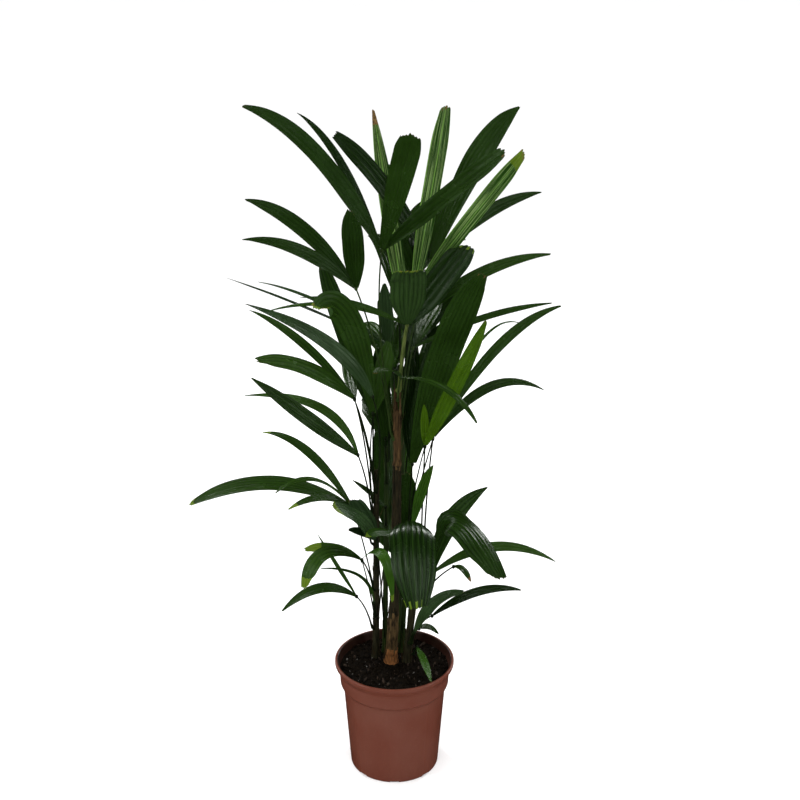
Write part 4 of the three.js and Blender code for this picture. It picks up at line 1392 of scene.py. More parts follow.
# The finishes, with colours as on a screen
LEAF_FINISHES = {
    Tone.DARK: leaf("dark", (7, 22, 2), (24, 45, 7), (38, 62, 18)),
    Tone.MID: leaf("middle", (12, 31, 3), (32, 56, 12), (52, 78, 26)),
    Tone.BRIGHT: leaf("bright", (24, 50, 7), (40, 72, 12), (62, 94, 30)),
    Tone.LIME: leaf("yellow green", (42, 70, 2), (62, 94, 4), (80, 110, 14)),
    Tone.STRIPED: leaf(
        "striped", (14, 40, 3), (28, 60, 7), (130, 158, 92),
        vein_share=0.8, vein_span=(0.5, 0.62), ridge_share=0.1,
    ),
    # The grey green is partly the leaf's colour, partly a painted grey sheen
    Tone.GREY: leaf("grey green", (16, 34, 12), (34, 54, 26), (66, 86, 56)),
}
SHADES = {"Deep": 0.0, "Middle": 0.5, "Fresh": 1.0}
LEAF_PARTS = {
    "Rib": leaf("pale stripe", (76, 116, 40), (94, 130, 56), (122, 150, 84), valley_share=0.1),
    "Under": leaf("underside", (25, 47, 13), (39, 65, 22), (58, 84, 38), gloss=(0.5, 0.62), shine=0.15),
    "Yellow": leaf("yellow end", (66, 92, 12), (84, 106, 20), (112, 128, 50)),
    "Dry": grain("leaf dry end", (48, 34, 18), (112, 88, 52), (300, 300, 300), (0.6, 0.8), 0.0002, gloss=0.1),
}

CANE_GRAIN = (420, 420, 26)
CANE_ROUGH = (0.75, 0.95)
WOODY = (0.7, 0.9)
STALK_LOOK = ((260, 260, 14), (0.36, 0.52), 0.0002)
CANE_FINISHES = {
    "Bark": grain("cane fibre bark", (26, 18, 9), (80, 61, 38), CANE_GRAIN, CANE_ROUGH, 0.0009, gloss=0.05),
    "Low": grain("cane dark bark", (10, 10, 6), (42, 38, 24), CANE_GRAIN, CANE_ROUGH, 0.0009, gloss=0.05),
    "Green": grain("cane green", (14, 26, 7), (40, 56, 20), (300, 300, 18), (0.5, 0.7), 0.0004, gloss=0.08),
    "Grey": grain("cane grey bark", (12, 14, 8), (46, 44, 28), CANE_GRAIN, CANE_ROUGH, 0.0008, gloss=0.05),
    "Stub": grain("cane stub", (26, 20, 11), (84, 67, 42), (260, 260, 60), WOODY, 0.0012, gloss=0.05),
    "Foot": grain("cane foot", (66, 40, 20), (144, 96, 56), (240, 240, 90), WOODY, 0.0012, gloss=0.05),
    "Fibre": grain("cane loose fibre", (24, 17, 10), (76, 60, 38), (90, 90, 30), WOODY, 0.0002, gloss=0.05),
}
STALK_FINISHES = {
    "stalks_pale": (grain("stalk pale", (44, 58, 18), (90, 102, 50), *STALK_LOOK, gloss=0.1), Tone.BRIGHT),
    "stalks_green": (grain("stalk green", (20, 34, 8), (44, 62, 22), *STALK_LOOK, gloss=0.1), Tone.BRIGHT),
    "stalks_dark": (grain("stalk dark", (5, 11, 3), (22, 33, 11), *STALK_LOOK, gloss=0.1), Tone.DARK),
}
SOIL_FINISHES = {
    "Peat": grain("soil peat", (4, 3, 2), (22, 17, 11), (260,) * 3, (0.7, 1.0), 0.0016, gloss=0.03),
    "Chip": grain("soil bark chip", (16, 12, 9), (56, 44, 34), (160,) * 3, (0.6, 0.9), 0.0006, gloss=0.15),
    # Pale grey flecks, which are also painted glints on the soil
    "Fleck": grain("soil fleck", (46, 43, 40), (108, 104, 98), (500,) * 3, (0.4, 0.7), 0.0003, gloss=0.3),
}
FLOOR = grain("floor", (249, 249, 249), (250, 250, 250), (0.7, 0.7, 0.7), (0.75, 0.8), 0.00001, gloss=0.1)


def materials(finishes: dict[str, LeafFinish | GrainFinish]) -> dict[str, bpy.types.Material]:
    """Makes the material of each finish."""
    return {label: finish.material() for label, finish in finishes.items()}


def ready(piece: bpy.types.Object, slot: str, *nodes: str) -> None:
    """Makes a finished piece ride with the plant and stand for its nodes.

    Args:
        piece: The piece.
        slot: The record's material slot that it takes its finish from; not used.
        nodes: The nodes that it stands for.
    """
    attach(piece, BODY)
    if nodes:
        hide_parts(*nodes)
    LOG.info("%s: %d faces", piece.name, len(piece.data.polygons))


@dataclass
class Foliage:
    """All leaflets of the plant, one piece for each tone, grown by one node tree."""

    clump: Clump
    thickness: float = 0.55
    row_step: float = 6.0
    fewest_rows: int = 16
    hub_share: float = 0.9
    hub_radius: float = 2.9
    easing: int = 8
    seed: int = 11
    weld: float = 1e-6

    # How far a blade rolls about its middle line, in degrees, and over what share of half a wave
    roll: float = 9.0
    roll_waves: Span = (0.6, 1.2)

    # A long, rolled root: the share of its width that it keeps, and where it starts and stops opening
    neck_width: float = 0.22
    neck_span: Span = (0.5, 0.6)

    # Pleats: depth, how uneven and how that varies, and their depth towards the root and the end
    pleat_depth: float = 0.21
    uneven: float = 0.7
    uneven_across: float = 0.8
    uneven_between: float = 3.1
    root_span: Span = (0, 0.25)
    root_depth: Span = (0.55, 1)
    end_span: Span = (0.75, 1)
    end_depth: Span = (1, 0.6)
    # How strongly a leaflet's ribs show: their relief, and the painted highlight and shade along its pleats
    ribbed: Span = (0.15, 0.7)

    # Waves: height, how fast across, along a metre and between leaves, and how the middle holds still
    waviness: float = 2.4
    wave_scale: Point = (0.7, 13, 7.7)
    wave_edge: float = 0.7
    wave_middle: float = 0.3

    # The torn end: depth of its teeth, from where, and how slant, corners, pleats and chance cut it
    tooth: float = 0.8
    longest_tooth: float = 13.0
    pointed: Span = (2.4, 0.3)
    torn_span: Span = (0.8, 1)
    slant_middle: float = 0.45
    slant_edge: float = 0.4
    corner_cut: float = 0.3
    pleat_cut: float = -0.3
    chance_cut: float = 0.5
    least_cut: float = -0.05

    # Torn, dry and yellow ends: how far they stray from the table, their uneven limit, a pale stripe
    torn_spread: Span = (0.6, 1.1)
    dry_spread: Span = (0.7, 1.4)
    yellow_spread: Span = (0.8, 1.2)
    ragged_scale: float = 3
    ragged: float = 0.05
    stripe: float = 0.13

    def sizes(self) -> dict[str, object]:
        """Gives the sizes that the trees of the leaflets take."""
        return {"Thickness": self.thickness * MM, "Pleat depth": self.pleat_depth}

    def guides(self, tone: Tone) -> Guides:
        """Draws the middle line of each leaflet of a tone, with its directions and widths.

        Args:
            tone: The tone.

        Returns:
            The lines.
        """
        made = Guides()
        for index, (frond, blade) in enumerate(self.clump.blades):
            row = blade.row
            if (row.tone or frond.tone) is not tone:
                continue
            chance = np.random.default_rng(self.seed + index)
            rows = max(self.fewest_rows, round(row.length / self.row_step))
            shares = np.linspace(self.hub_radius * self.hub_share / row.length, 1, rows)
            blade = blade.dressed()
            points = blade.arc.points(shares)
            along, across, upward = self.eased(blade, shares)
            roll = math.radians(self.roll) * chance.uniform(-1, 1)
            turn = (roll * np.sin(shares * math.pi * chance.uniform(*self.roll_waves)))[:, None]
            breadth = Breadth.of(row.width)
            dry, yellow = row.end.value
            half = blade.half_widths(shares, row.opens) * self.necked(row, shares) * row.broad
            shade = chance.integers(0, len(SHADES)) if row.shade is None else row.shade
            ribbed = row.ribs
            if ribbed is None:
                ribbed = 1.0 if breadth is Breadth.WIDEST else chance.uniform(*self.ribbed)
            torn = self.cut_depth(blade.row) * chance.uniform(*self.torn_spread)
            made.add(
                points,
                centre=points * MM,
                along=along,
                across=across * np.cos(turn) + upward * np.sin(turn),
                upward=upward * np.cos(turn) - across * np.sin(turn),
                share=shares,
                half=half * MM,
                length=row.length * MM,
                cup=FOLD + row.cup,
                pleats=breadth.pleats,
                breadth=list(Breadth).index(breadth),
                leaf=index,
                shade=shade,
                ribbed=ribbed,
                ragged=min(self.longest_tooth, torn) * MM,
                slant=chance.uniform(-1, 1) if row.slant is None else row.slant,
                dry=dry * chance.uniform(*self.dry_spread),
                yellow=yellow * chance.uniform(*self.yellow_spread),
            )
        return made

    def cut_depth(self, row: Leaflet) -> float:
        """Gives how deep a leaflet's end is cut, in millimetres: less where it is pointed."""
        share, least = self.pointed
        return row.width / 2 * min(max(row.tip_share * share, least), 1)

    def necked(self, row: Leaflet, shares: Array) -> Array:
        """Gives the share of its width that a leaflet with a long, rolled root keeps.

        Args:
            row: The leaflet's row.
            shares: Shares of its length.

        Returns:
            The share of its width at each of them.
        """
        if not row.neck:
            return np.ones(len(shares))
        start, reach = self.neck_span
        opened = smooth_step((shares - row.neck * start) / (row.neck * reach))
        return self.neck_width + (1 - self.neck_width) * opened

    def eased(self, blade: Blade, shares: Array) -> tuple[Array, Array, Array]:
        """Gives a leaflet's directions without a sudden turn where it doubles back over its stalk.

        Args:
            blade: The leaflet.
            shares: Shares of its length.

        Returns:
            Along it, across it, and out of its upper side.
        """
        along, across, _ = blade.directions(shares)
        for i in range(len(shares) - 2, -1, -1):
            if across[i] @ across[i + 1] < 0:
                across[i] = -across[i]
        for _ in range(self.easing):
            across[1:-1] = (across[:-2] + 2 * across[1:-1] + across[2:]) / 4
            across = unit(across - (across * along).sum(-1, keepdims=True) * along)
        return along, across, np.cross(across, along)

    def blade_tree(self) -> GeometryTree:
        """Builds the tree that turns guide lines into thin, pleated, closed blades.

        Returns:
            The tree, with the count of columns across, thickness, pleats, teeth and waves as inputs.
        """
        sizes = {"Columns": 16, **self.sizes(), "Tooth": self.tooth, "Waviness": self.waviness * MM}
        tree = GeometryTree("pleated blades", sizes)
        profile = tree.line((-1, 0, 0), (1, 0, 0), tree["Columns"] + 1)
        place = tree.node("InputPosition")
        profile = tree.stored(profile, "side", tree.along("X", place))
        mesh = tree.node("CurveToMesh", {"Curve": tree.curves(), "Profile Curve": profile})

        side, share, half, pleats, leaf, length = tree.attributes(
            "side", "share", "half", "pleats", "leaf", "length"
        )
        edge = side * side
        far = share * length
        pleat_at = (side * 0.5 + 0.5) * pleats
        uneven_at = tree.vector(pleat_at * self.uneven_across, share, leaf * self.uneven_between)
        pleat_at = (tree.noise(uneven_at, 1.0, 0.0) - 0.5) * self.uneven + pleat_at
        zigzag = tree.maths("PINGPONG", pleat_at, 0.5) * 2
        opening = tree.ranged(share, self.root_span, self.root_depth, step="SMOOTHSTEP")
        closing = tree.ranged(share, self.end_span, self.end_depth)
        depth = half * 2 / pleats * tree["Pleat depth"] * opening * closing
        pleat = (zigzag - 0.5) * depth
        wave_at = tree.vector(*(value * scale for value, scale in zip((side, far, leaf), self.wave_scale)))
        loose = edge * self.wave_edge + self.wave_middle
        wave = (tree.noise(wave_at, 1.0, 1.0) - 0.5) * loose * tree["Waviness"]
        height = half * tree.attribute("cup") * edge + pleat + wave

        pleat_seed = tree.vector(tree.maths("FLOOR", pleat_at), leaf, 0.5)
        chance = tree.node("ShaderNodeTexWhiteNoise", {"Vector": pleat_seed})
        slant, ragged = tree.attributes("slant", "ragged")
        slanted = side * slant + tree.maths("ABSOLUTE", slant)
        slanted = slanted * (edge * self.slant_edge + self.slant_middle)
        slanted = edge * self.corner_cut + slanted
        cut = zigzag * self.pleat_cut + (chance * self.chance_cut + self.least_cut) + slanted
        cut = cut * tree.ranged(share, self.torn_span, step="SMOOTHSTEP") * (ragged * tree["Tooth"])

        across, upward, along, there = tree.attributes(
            "across", "upward", "along", "centre", kind="FLOAT_VECTOR"
        )
        for direction, distance in ((across, half * side), (upward, height), (along, cut * -1)):
            there = tree.vectors("ADD", there, tree.vectors("SCALE", direction, distance))
        mesh = tree.moved(mesh, Position=there)
        mesh = tree.stored(mesh, "UVMap", tree.vector(pleat_at, far * 10, 0.0), "FLOAT2", "CORNER")

        thick = {"Mesh": mesh, "Offset Scale": tree["Thickness"], "Individual": False}
        upper = tree.node("ExtrudeMesh", thick)
        lower = tree.stored(tree.node("FlipFaces", {"Mesh": mesh}), "under", 1.0, domain="FACE")
        both = {"Geometry": tree.join(lower, upper), "Distance": self.weld}
        return tree.give(tree.smooth(tree.node("MergeByDistance", both)))

    def tree(self) -> GeometryTree:
        """Builds the tree that grows a tone's leaflets, each breadth with its own columns.

        Returns:
            The tree.
        """
        tree = GeometryTree("leaflets", {**self.sizes(), "Striped": False}, (*SHADES, *LEAF_PARTS))
        blades = self.blade_tree()
        parts = []
        for index, breadth in enumerate(Breadth):
            chosen = tree.maths("COMPARE", tree.attribute("breadth"), index, 0.1)
            lines = {"Geometry": tree["Guides"], "Selection": chosen}
            parts.append(tree.node("Group", {
                "Guides": tree.node("SeparateGeometry", lines),
                "Columns": breadth.columns,
                "Thickness": tree["Thickness"],
                "Pleat depth": tree["Pleat depth"] * breadth.depth,
            }, node_tree=blades.tree))
        share, side, leaf, shade = tree.attributes("share", "side", "leaf", "shade")
        ragged_at = tree.vector(side * self.ragged_scale, leaf, 0.0)
        ragged = tree.noise(ragged_at, 1.0, 2.0) * self.ragged + (share - self.ragged / 2)
        pleat_at = (side * 0.5 + 0.5) * tree.attribute("pleats")
        return tree.end(tree.join(*parts), {
            "Deep": True,
            "Middle": shade > 0.5,
            "Fresh": shade > 1.5,
            "Rib": (tree.maths("FRACT", pleat_at * 0.5) < self.stripe) * tree["Striped"],
            "Under": tree.attribute("under") > 0.5,
            "Yellow": ragged > 1 - tree.attribute("yellow"),
            "Dry": ragged > 1 - tree.attribute("dry"),
        })

    def build(self) -> None:
        """Grows and dresses one piece for each tone."""
        tree = self.tree()
        shared = materials(LEAF_PARTS)
        for tone in Tone:
            greens = {label: LEAF_FINISHES[tone].material(shade) for label, shade in SHADES.items()}
            values = {**self.sizes(), **shared, **greens, "Striped": tone is Tone.STRIPED}
            name = tone.value.replace("foliage", "leaves")
            piece = tree.grow(self.guides(tone).object(name), values)
            nodes = (f"frond_{frond.name}" for frond in self.clump.fronds if frond.tone is tone)
            ready(piece, tone.value, *nodes)


@dataclass
class Stalks:
    """The stalks of all fronds and the small hubs where their leaflets meet."""

    clump: Clump
    rows: int = 26
    sides: int = 8
    slender: float = 0.78
    hub_radius: float = 2.9
    hub_height: float = 1.3
    foot_swell: float = 1.5
    swell_fades: float = 7.0
    sunk: float = 4.0
    pale: str = "front"
    stout: dict[str, float] = field(default_factory=lambda: {"front": 2.1, "right_low": 2.3})

    # Long thin stalks beside a frond's own: cane, height where it leaves, frond, how far it bows aside
    thin_share: float = 0.9
    short_of_hub: float = 2.0
    bowed: Point = (0.4, 0.5, 0.55)
    second: tuple[tuple[str, float, str, float], ...] = (
        ("left", 485, "blunt", 7), ("left", 461, "blunt", 15), ("left", 438, "folded", -15),
        ("middle_right", 436, "lime", 0), ("middle_right", 428, "arching", 4), ("left", 205, "dark_left", 0),
        ("left_inner", 205, "left_low", 0), ("left", 258, "left_droop", 0), ("left", 307, "left_long", 0),
    )

    def kind(self, stalk: Stalk) -> str:
        """Gives the name of the piece that a stalk belongs to."""
        others = "stalks_green" if stalk.frond.cane == "main" else "stalks_dark"
        return "stalks_pale" if stalk.frond.name == self.pale else others

    def sizes(self) -> dict[str, object]:
        """Gives the sizes that the tree takes."""
        return {"Sides": self.sides, "Hub radius": self.hub_radius * MM}

    def tree(self) -> GeometryTree:
        """Builds the tree: a round rod along each line and a hub at its far end.

        Returns:
            The tree.
        """
        tree = GeometryTree("stalks", self.sizes(), ("Skin",))
        curve = tree.curves()
        rods = tree.rods(curve, tree["Sides"], tree.attribute("radius"))
        ball = tree.node("MeshIcoSphere", {"Radius": tree["Hub radius"], "Subdivisions": 3})
        hubs = tree.node("InstanceOnPoints", {
            "Points": curve,
            "Selection": tree.node("CurveEndpointSelection", {"Start Size": 0, "End Size": 1}),
            "Instance": ball,
            "Scale": tree.vector(1.0, 1.0, self.hub_height),
        })
        return tree.end(tree.smooth(tree.join(rods, hubs)), {"Skin": True})

    def radii(self, shares: Array, stout: float) -> Array:
        """Gives a stalk's radii at shares of its length, in millimetres."""
        return (STALK_FOOT + (STALK_TIP - STALK_FOOT) * shares) * self.slender * stout

    def guides(self, kind: str) -> Guides:
        """Draws the middle lines of a piece's stalks.

        Args:
            kind: The piece's name.

        Returns:
            The lines.
        """
        made = Guides()
        shares = np.linspace(0, 1, self.rows)
        for stalk in self.clump.stalks:
            if self.kind(stalk) != kind:
                continue
            points = stalk.arc.points(shares)
            points[0] = points[0] - stalk.outward * self.sunk
            gone = np.concatenate([[0], np.cumsum(np.linalg.norm(np.diff(points, axis=0), axis=1))])
            radii = self.radii(shares, self.stout.get(stalk.frond.name, 1.0))
            made.add(points, radius=(radii + self.foot_swell * np.exp(-gone / self.swell_fades)) * MM)
        if kind == "stalks_dark":
            self.add_second(made, shares)
        return made

    def add_second(self, made: Guides, shares: Array) -> None:
        """Adds the long thin stalks.

        Args:
            made: The lines to add to.
            shares: Shares of their length.
        """
        canes = {cane.name: cane for cane in self.clump.canes}
        hubs = {frond.name: np.array(frond.hub, float) for frond in self.clump.fronds}
        for cane, height, frond, aside in self.second:
            foot = canes[cane].centre(height)
            tip = hubs[frond] - unit(hubs[frond] - foot) * self.short_of_hub
            control = foot + (tip - foot) * np.array(self.bowed) + np.array([aside, 0, 0])
            made.add(Arc(foot, control, tip).points(shares), radius=self.radii(shares, self.thin_share) * MM)

    def build(self) -> None:
        """Grows and dresses the stalks."""
        tree = self.tree()
        for name, (finish, tone) in STALK_FINISHES.items():
            values = {**self.sizes(), "Skin": finish.material()}
            ready(tree.grow(self.guides(name).object(name), values), tone.value)


@dataclass
class Canes:
    """The canes with their fibrous sheaths, loose fibres and the stub at the main cane's foot."""

    clump: Clump
    sides: int = 28
    row_step: float = 4.0
    sunk: float = 6.0
    seed: int = 3
    green: tuple[str, ...] = ("middle_right", "left_inner", "back")
    grey: tuple[str, ...] = ("left", "right")

    # Sheaths: how evenly they widen, their mouth's edge, the tip's shoulder, the angle in radians from
    # which an edge stays sharp, and how far a mouth's fibres show
    widening: float = 1.5
    mouth_edge: float = 0.6
    shoulder: float = 0.8
    sharp_from: float = 1.2
    mouth_reach: float = 6.0

    # The main cane: its torn top, its joint, the stub round its foot, and where each of these fades
    torn_at: float = 674.0
    joint: float = 580.0
    joint_swell: float = 1.4
    joint_reach: float = 4.0
    joint_fades: float = 8.0
    stub_top: float = 290.0
    stub_swell: float = 1.4
    foot_top: float = 222.0
    fades: float = 34.0

    # Share of its radius that a cane keeps, below the joint and above it
    slim: dict[str, Span] = field(default_factory=lambda: {"main": (0.9, 0.78), "right": (0.85, 0.85)})
    slim_rest: Span = (0.74, 0.74)

    # Relief in millimetres, and how often it changes in a metre: bark, knobs and torn limits
    relief: float = 1.3
    bark_scale: Point = (380.0, 380.0, 34.0)
    knob_scale: float = 130.0
    knobs: float = 3.0
    knob_level: float = 0.4
    torn_scale: Point = (170.0, 170.0, 40.0)

    # Loose fibres: size, count on a square metre and on a green cane, bow, and lean at a mouth
    fibre_length: float = 24.0
    fibre_radius: float = 0.32
    fibre_span: Span = (0.2, 1)
    fibre_taper: Span = (1, 0.25)
    fibre_sizes: Span = (0.45, 1.2)
    fibre_bow: float = 0.09
    fibres: float = 15000.0
    fewer_on_green: float = -0.85
    lean: float = 0.1
    mouth_lean: float = 0.3

    # Torn sheath at the main cane: how far right and back, its heights, its radii, how pale it is
    shred_rows: int = 14
    shreds: tuple[tuple[float, float, Span, Span, float], ...] = (
        (-3.6, -2.0, (640, 712), (3.6, 1.2), 0),
        (-1.0, 4.0, (645, 700), (3.4, 1.2), 0),
        (4.8, -2.5, (644, 714), (2.2, 1.2), 1),
        (-1.0, -6.0, (572, 594), (2.0, 0.8), 1),
        (3.6, -5.0, (570, 588), (1.8, 0.7), 1),
    )

    def sizes(self) -> dict[str, object]:
        """Gives the sizes that the tree takes."""
        return {
            "Sides": self.sides,
            "Relief": self.relief * MM,
            "Fibre length": self.fibre_length * MM,
            "Fibre radius": self.fibre_radius * MM,
            "Fibres": self.fibres,
            "Seed": self.seed,
        }

    def add_cane(self, made: Guides, cane: Cane) -> None:
        """Draws a cane's middle line with its radii and how near a sheath's mouth is.

        Args:
            made: The lines to add to.
            cane: The cane.
        """
        main = cane.name == "main"
        top = self.torn_at if main else cane.top[2]
        tip_heights = top - np.array([TIP_HEIGHT, TIP_EDGE, 0])
        first = cane.base + FLARE_HEIGHT + FIRST_MOUTH
        mouths = np.array([z for z in cane.mouths(self.clump.fronds) if first < z < top - TIP_EDGE])
        plain = np.arange(cane.base, top - TIP_HEIGHT, self.row_step)
        ends = np.array([cane.base - self.sunk, *tip_heights])
        rows = [plain, ends, mouths - self.mouth_edge, mouths + self.mouth_edge]
        heights = np.unique(np.concatenate(rows))

        def under(limit: float, fades: float) -> Array:
            """Gives 1 under a limit on the main cane, which fades to 0 above it."""
            return np.clip((limit - heights) / fades + 0.5, 0, 1) * main

        bounds = np.concatenate([[cane.base], mouths, [top]])
        sheath = np.clip(np.searchsorted(bounds, heights, "right") - 1, 0, len(bounds) - 2)
        risen = np.clip((heights - bounds[sheath]) / (bounds[sheath + 1] - bounds[sheath]), 0, 1)
        radii = np.array([cane.plain_radius(z) for z in heights])
        radii = radii * (1 + (SHEATH_SWELL - 1) * risen**self.widening)
        flare_heights = [0, FLARE_HEIGHT * FLARE_BEND, FLARE_HEIGHT]
        flare = np.interp(heights - cane.base, flare_heights, [FLARE, BEND_SWELL, 1])
        tip = np.interp(heights, tip_heights, [1, self.shoulder, TIP_SHARE])
        swell = self.joint_swell * np.exp(-(((heights - self.joint) / self.joint_reach) ** 2)) * main
        low = under(self.joint, self.joint_fades)
        stub = under(self.stub_top, self.fades)
        slim_low, slim_high = self.slim.get(cane.name, self.slim_rest)
        radii = radii * (slim_high + (slim_low - slim_high) * low) + self.stub_swell * stub
        made.add(
            np.array([cane.centre(z) for z in heights]),
            radius=(radii * flare * tip + swell) * MM,
            mouth=np.exp(-np.abs(heights[:, None] - bounds[None, 1:]).min(1) / self.mouth_reach),
            green=float(cane.name in self.green),
            grey=float(cane.name in self.grey),
            low=low,
            stub=stub,
            foot=under(self.foot_top, self.fades),
        )

    def guides(self) -> Guides:
        """Draws the middle lines of the canes and of the torn pieces of sheath.

        Returns:
            The lines.
        """
        made = Guides()
        for cane in self.clump.canes:
            self.add_cane(made, cane)
        main = self.clump.canes[0]
        for right, back, span, radii, pale in self.shreds:
            heights = np.linspace(*span, self.shred_rows)
            points = np.array([main.centre(z) + np.array([right, back, 0]) for z in heights])
            skins = dict.fromkeys(("green", "grey", "low", "foot"), 0.0)
            made.add(points, radius=np.interp(heights, span, radii) * MM, mouth=1.0, stub=pale, **skins)
        return made

    def fibre(self, tree: GeometryTree) -> Value:
        """Adds one loose fibre, 1 long, that stands up and bows.

        Args:
            tree: The tree.

        Returns:
            The fibre.
        """
        gone = tree.node("SplineParameter")
        bow = tree.vector(gone ** 2 * self.fibre_bow, 0.0, 0.0)
        line = tree.moved(tree.line((0, 0, 0), (0, 0, 1), 4), Offset=bow)
        thickness = tree["Fibre radius"] / tree["Fibre length"]
        fibre = tree.rods(line, 3, tree.ranged(gone, self.fibre_span, self.fibre_taper) * thickness)
        return tree.stored(fibre, "fibre", 1.0)

    def tree(self) -> GeometryTree:
        """Builds the tree: a relief skin along each line, and fibres that stand off it.

        Returns:
            The tree.
        """
        tree = GeometryTree("canes", self.sizes(), tuple(CANE_FINISHES))
        place = tree.node("InputPosition")
        mouth, low, green, grey, stub, foot = tree.attributes("mouth", "low", "green", "grey", "stub", "foot")
        skin = tree.rods(tree.curves(), tree["Sides"], tree.attribute("radius"))
        bark = tree.noise(tree.vectors("MULTIPLY", place, self.bark_scale), 1.0, 3.0) - 0.5
        knobs = tree.noise(tree.vectors("SCALE", place, self.knob_scale), 1.0, 2.0) - self.knob_level
        lift = (bark + knobs * stub * self.knobs) * tree["Relief"]
        skin = tree.moved(skin, Offset=tree.vectors("SCALE", tree.node("InputNormal"), lift))

        fibre = self.fibre(tree)
        spots = tree.spots(skin, tree["Fibres"] * (green * self.fewer_on_green + 1.0))
        tilt = mouth * self.mouth_lean + self.lean
        back = tilt * -1
        turns = tree.vector(
            tree.chance(back, tilt, 1), tree.chance(back, tilt, 2), tree.chance(0.0, math.tau, 3)
        )
        size = tree["Fibre length"] * tree.chance(*self.fibre_sizes, 4)
        fibres = tree.strewn(spots, fibre, turns, size)
        torn = tree.noise(tree.vectors("MULTIPLY", place, self.torn_scale), 1.0, 2.0)
        return tree.end(tree.join(tree.smooth(skin, self.sharp_from), fibres), {
            "Bark": True,
            "Low": low > torn,
            "Green": green > 0.5,
            "Grey": grey > 0.5,
            "Stub": stub > torn,
            "Foot": foot > torn,
            "Fibre": tree.attribute("fibre") > 0.5,
        })

    def build(self) -> None:
        """Grows and dresses the canes."""
        values = {**self.sizes(), **materials(CANE_FINISHES)}
        piece = self.tree().grow(self.guides().object("canes"), values)
        ready(piece, "cane", *(f"cane_{cane.name}" for cane in self.clump.canes))


def rounded(corners: Sequence[Span], radius: float, steps: int = 4, most: float = 0.45) -> list[Span]:
    """Rounds the inner corners of an outline.

    Args:
        corners: The outline's corners, as radius and height.
        radius: How far a rounding reaches, less where an edge is short.
        steps: How many edges each rounding has.
        most: The largest share of an edge that it takes.

    Returns:
        The rounded outline.
    """
    points = [np.array(corner, float) for corner in corners]
    made = [tuple(corners[0])]
    for before, corner, after in zip(points, points[1:], points[2:]):
        reach = min(radius, *(most * np.linalg.norm(other - corner) for other in (before, after)))
        start, end = (corner + unit(other - corner) * reach for other in (before, after))
        made.extend(tuple(point) for point in Arc(start, corner, end).points(np.arange(steps + 1) / steps))
    made.append(tuple(corners[-1]))
    return made


def turned(
    name: str, outline: Sequence[Span], angles: Array, shaped: Callable | None = None, sharp_from: float = 38
) -> bpy.types.Object:
    """Turns an outline that starts and ends on the axis into a closed mesh.

    Args:
        name: The piece's name.
        outline: Radius and height of each point, outer side first.
        angles: The angles of the mesh's sides, in radians.
        shaped: Moves a point's radius, angle and height.
        sharp_from: The angle from which an edge stays sharp, in degrees.

    Returns:
        The piece.
    """
    rings = list(outline[1:-1])
    count = len(angles)
    points = [(0.0, 0.0, outline[0][1])]
    for radius, height in rings:
        for angle in angles:
            off, turn, z = shaped(radius, angle, height) if shaped else (radius, angle, height)
            points.append((off * math.cos(turn), off * math.sin(turn), z))
    points.append((0.0, 0.0, outline[-1][1]))
    faces: list[tuple[int, ...]] = []
    last = 1 + (len(rings) - 1) * count
    for i in range(count):
        j = (i + 1) % count
        faces.append((0, 1 + j, 1 + i))
        faces.append((len(points) - 1, last + i, last + j))
        for low in range(1, last, count):
            faces.append((low + i, low + j, low + count + j, low + count + i))
    mesh = bpy.data.meshes.new(name)
    mesh.from_pydata((np.array(points) * MM).tolist(), [], faces)
    mesh.shade_smooth()
    mesh.set_sharp_from_angle(angle=math.radians(sharp_from))
    return placed(name, mesh)


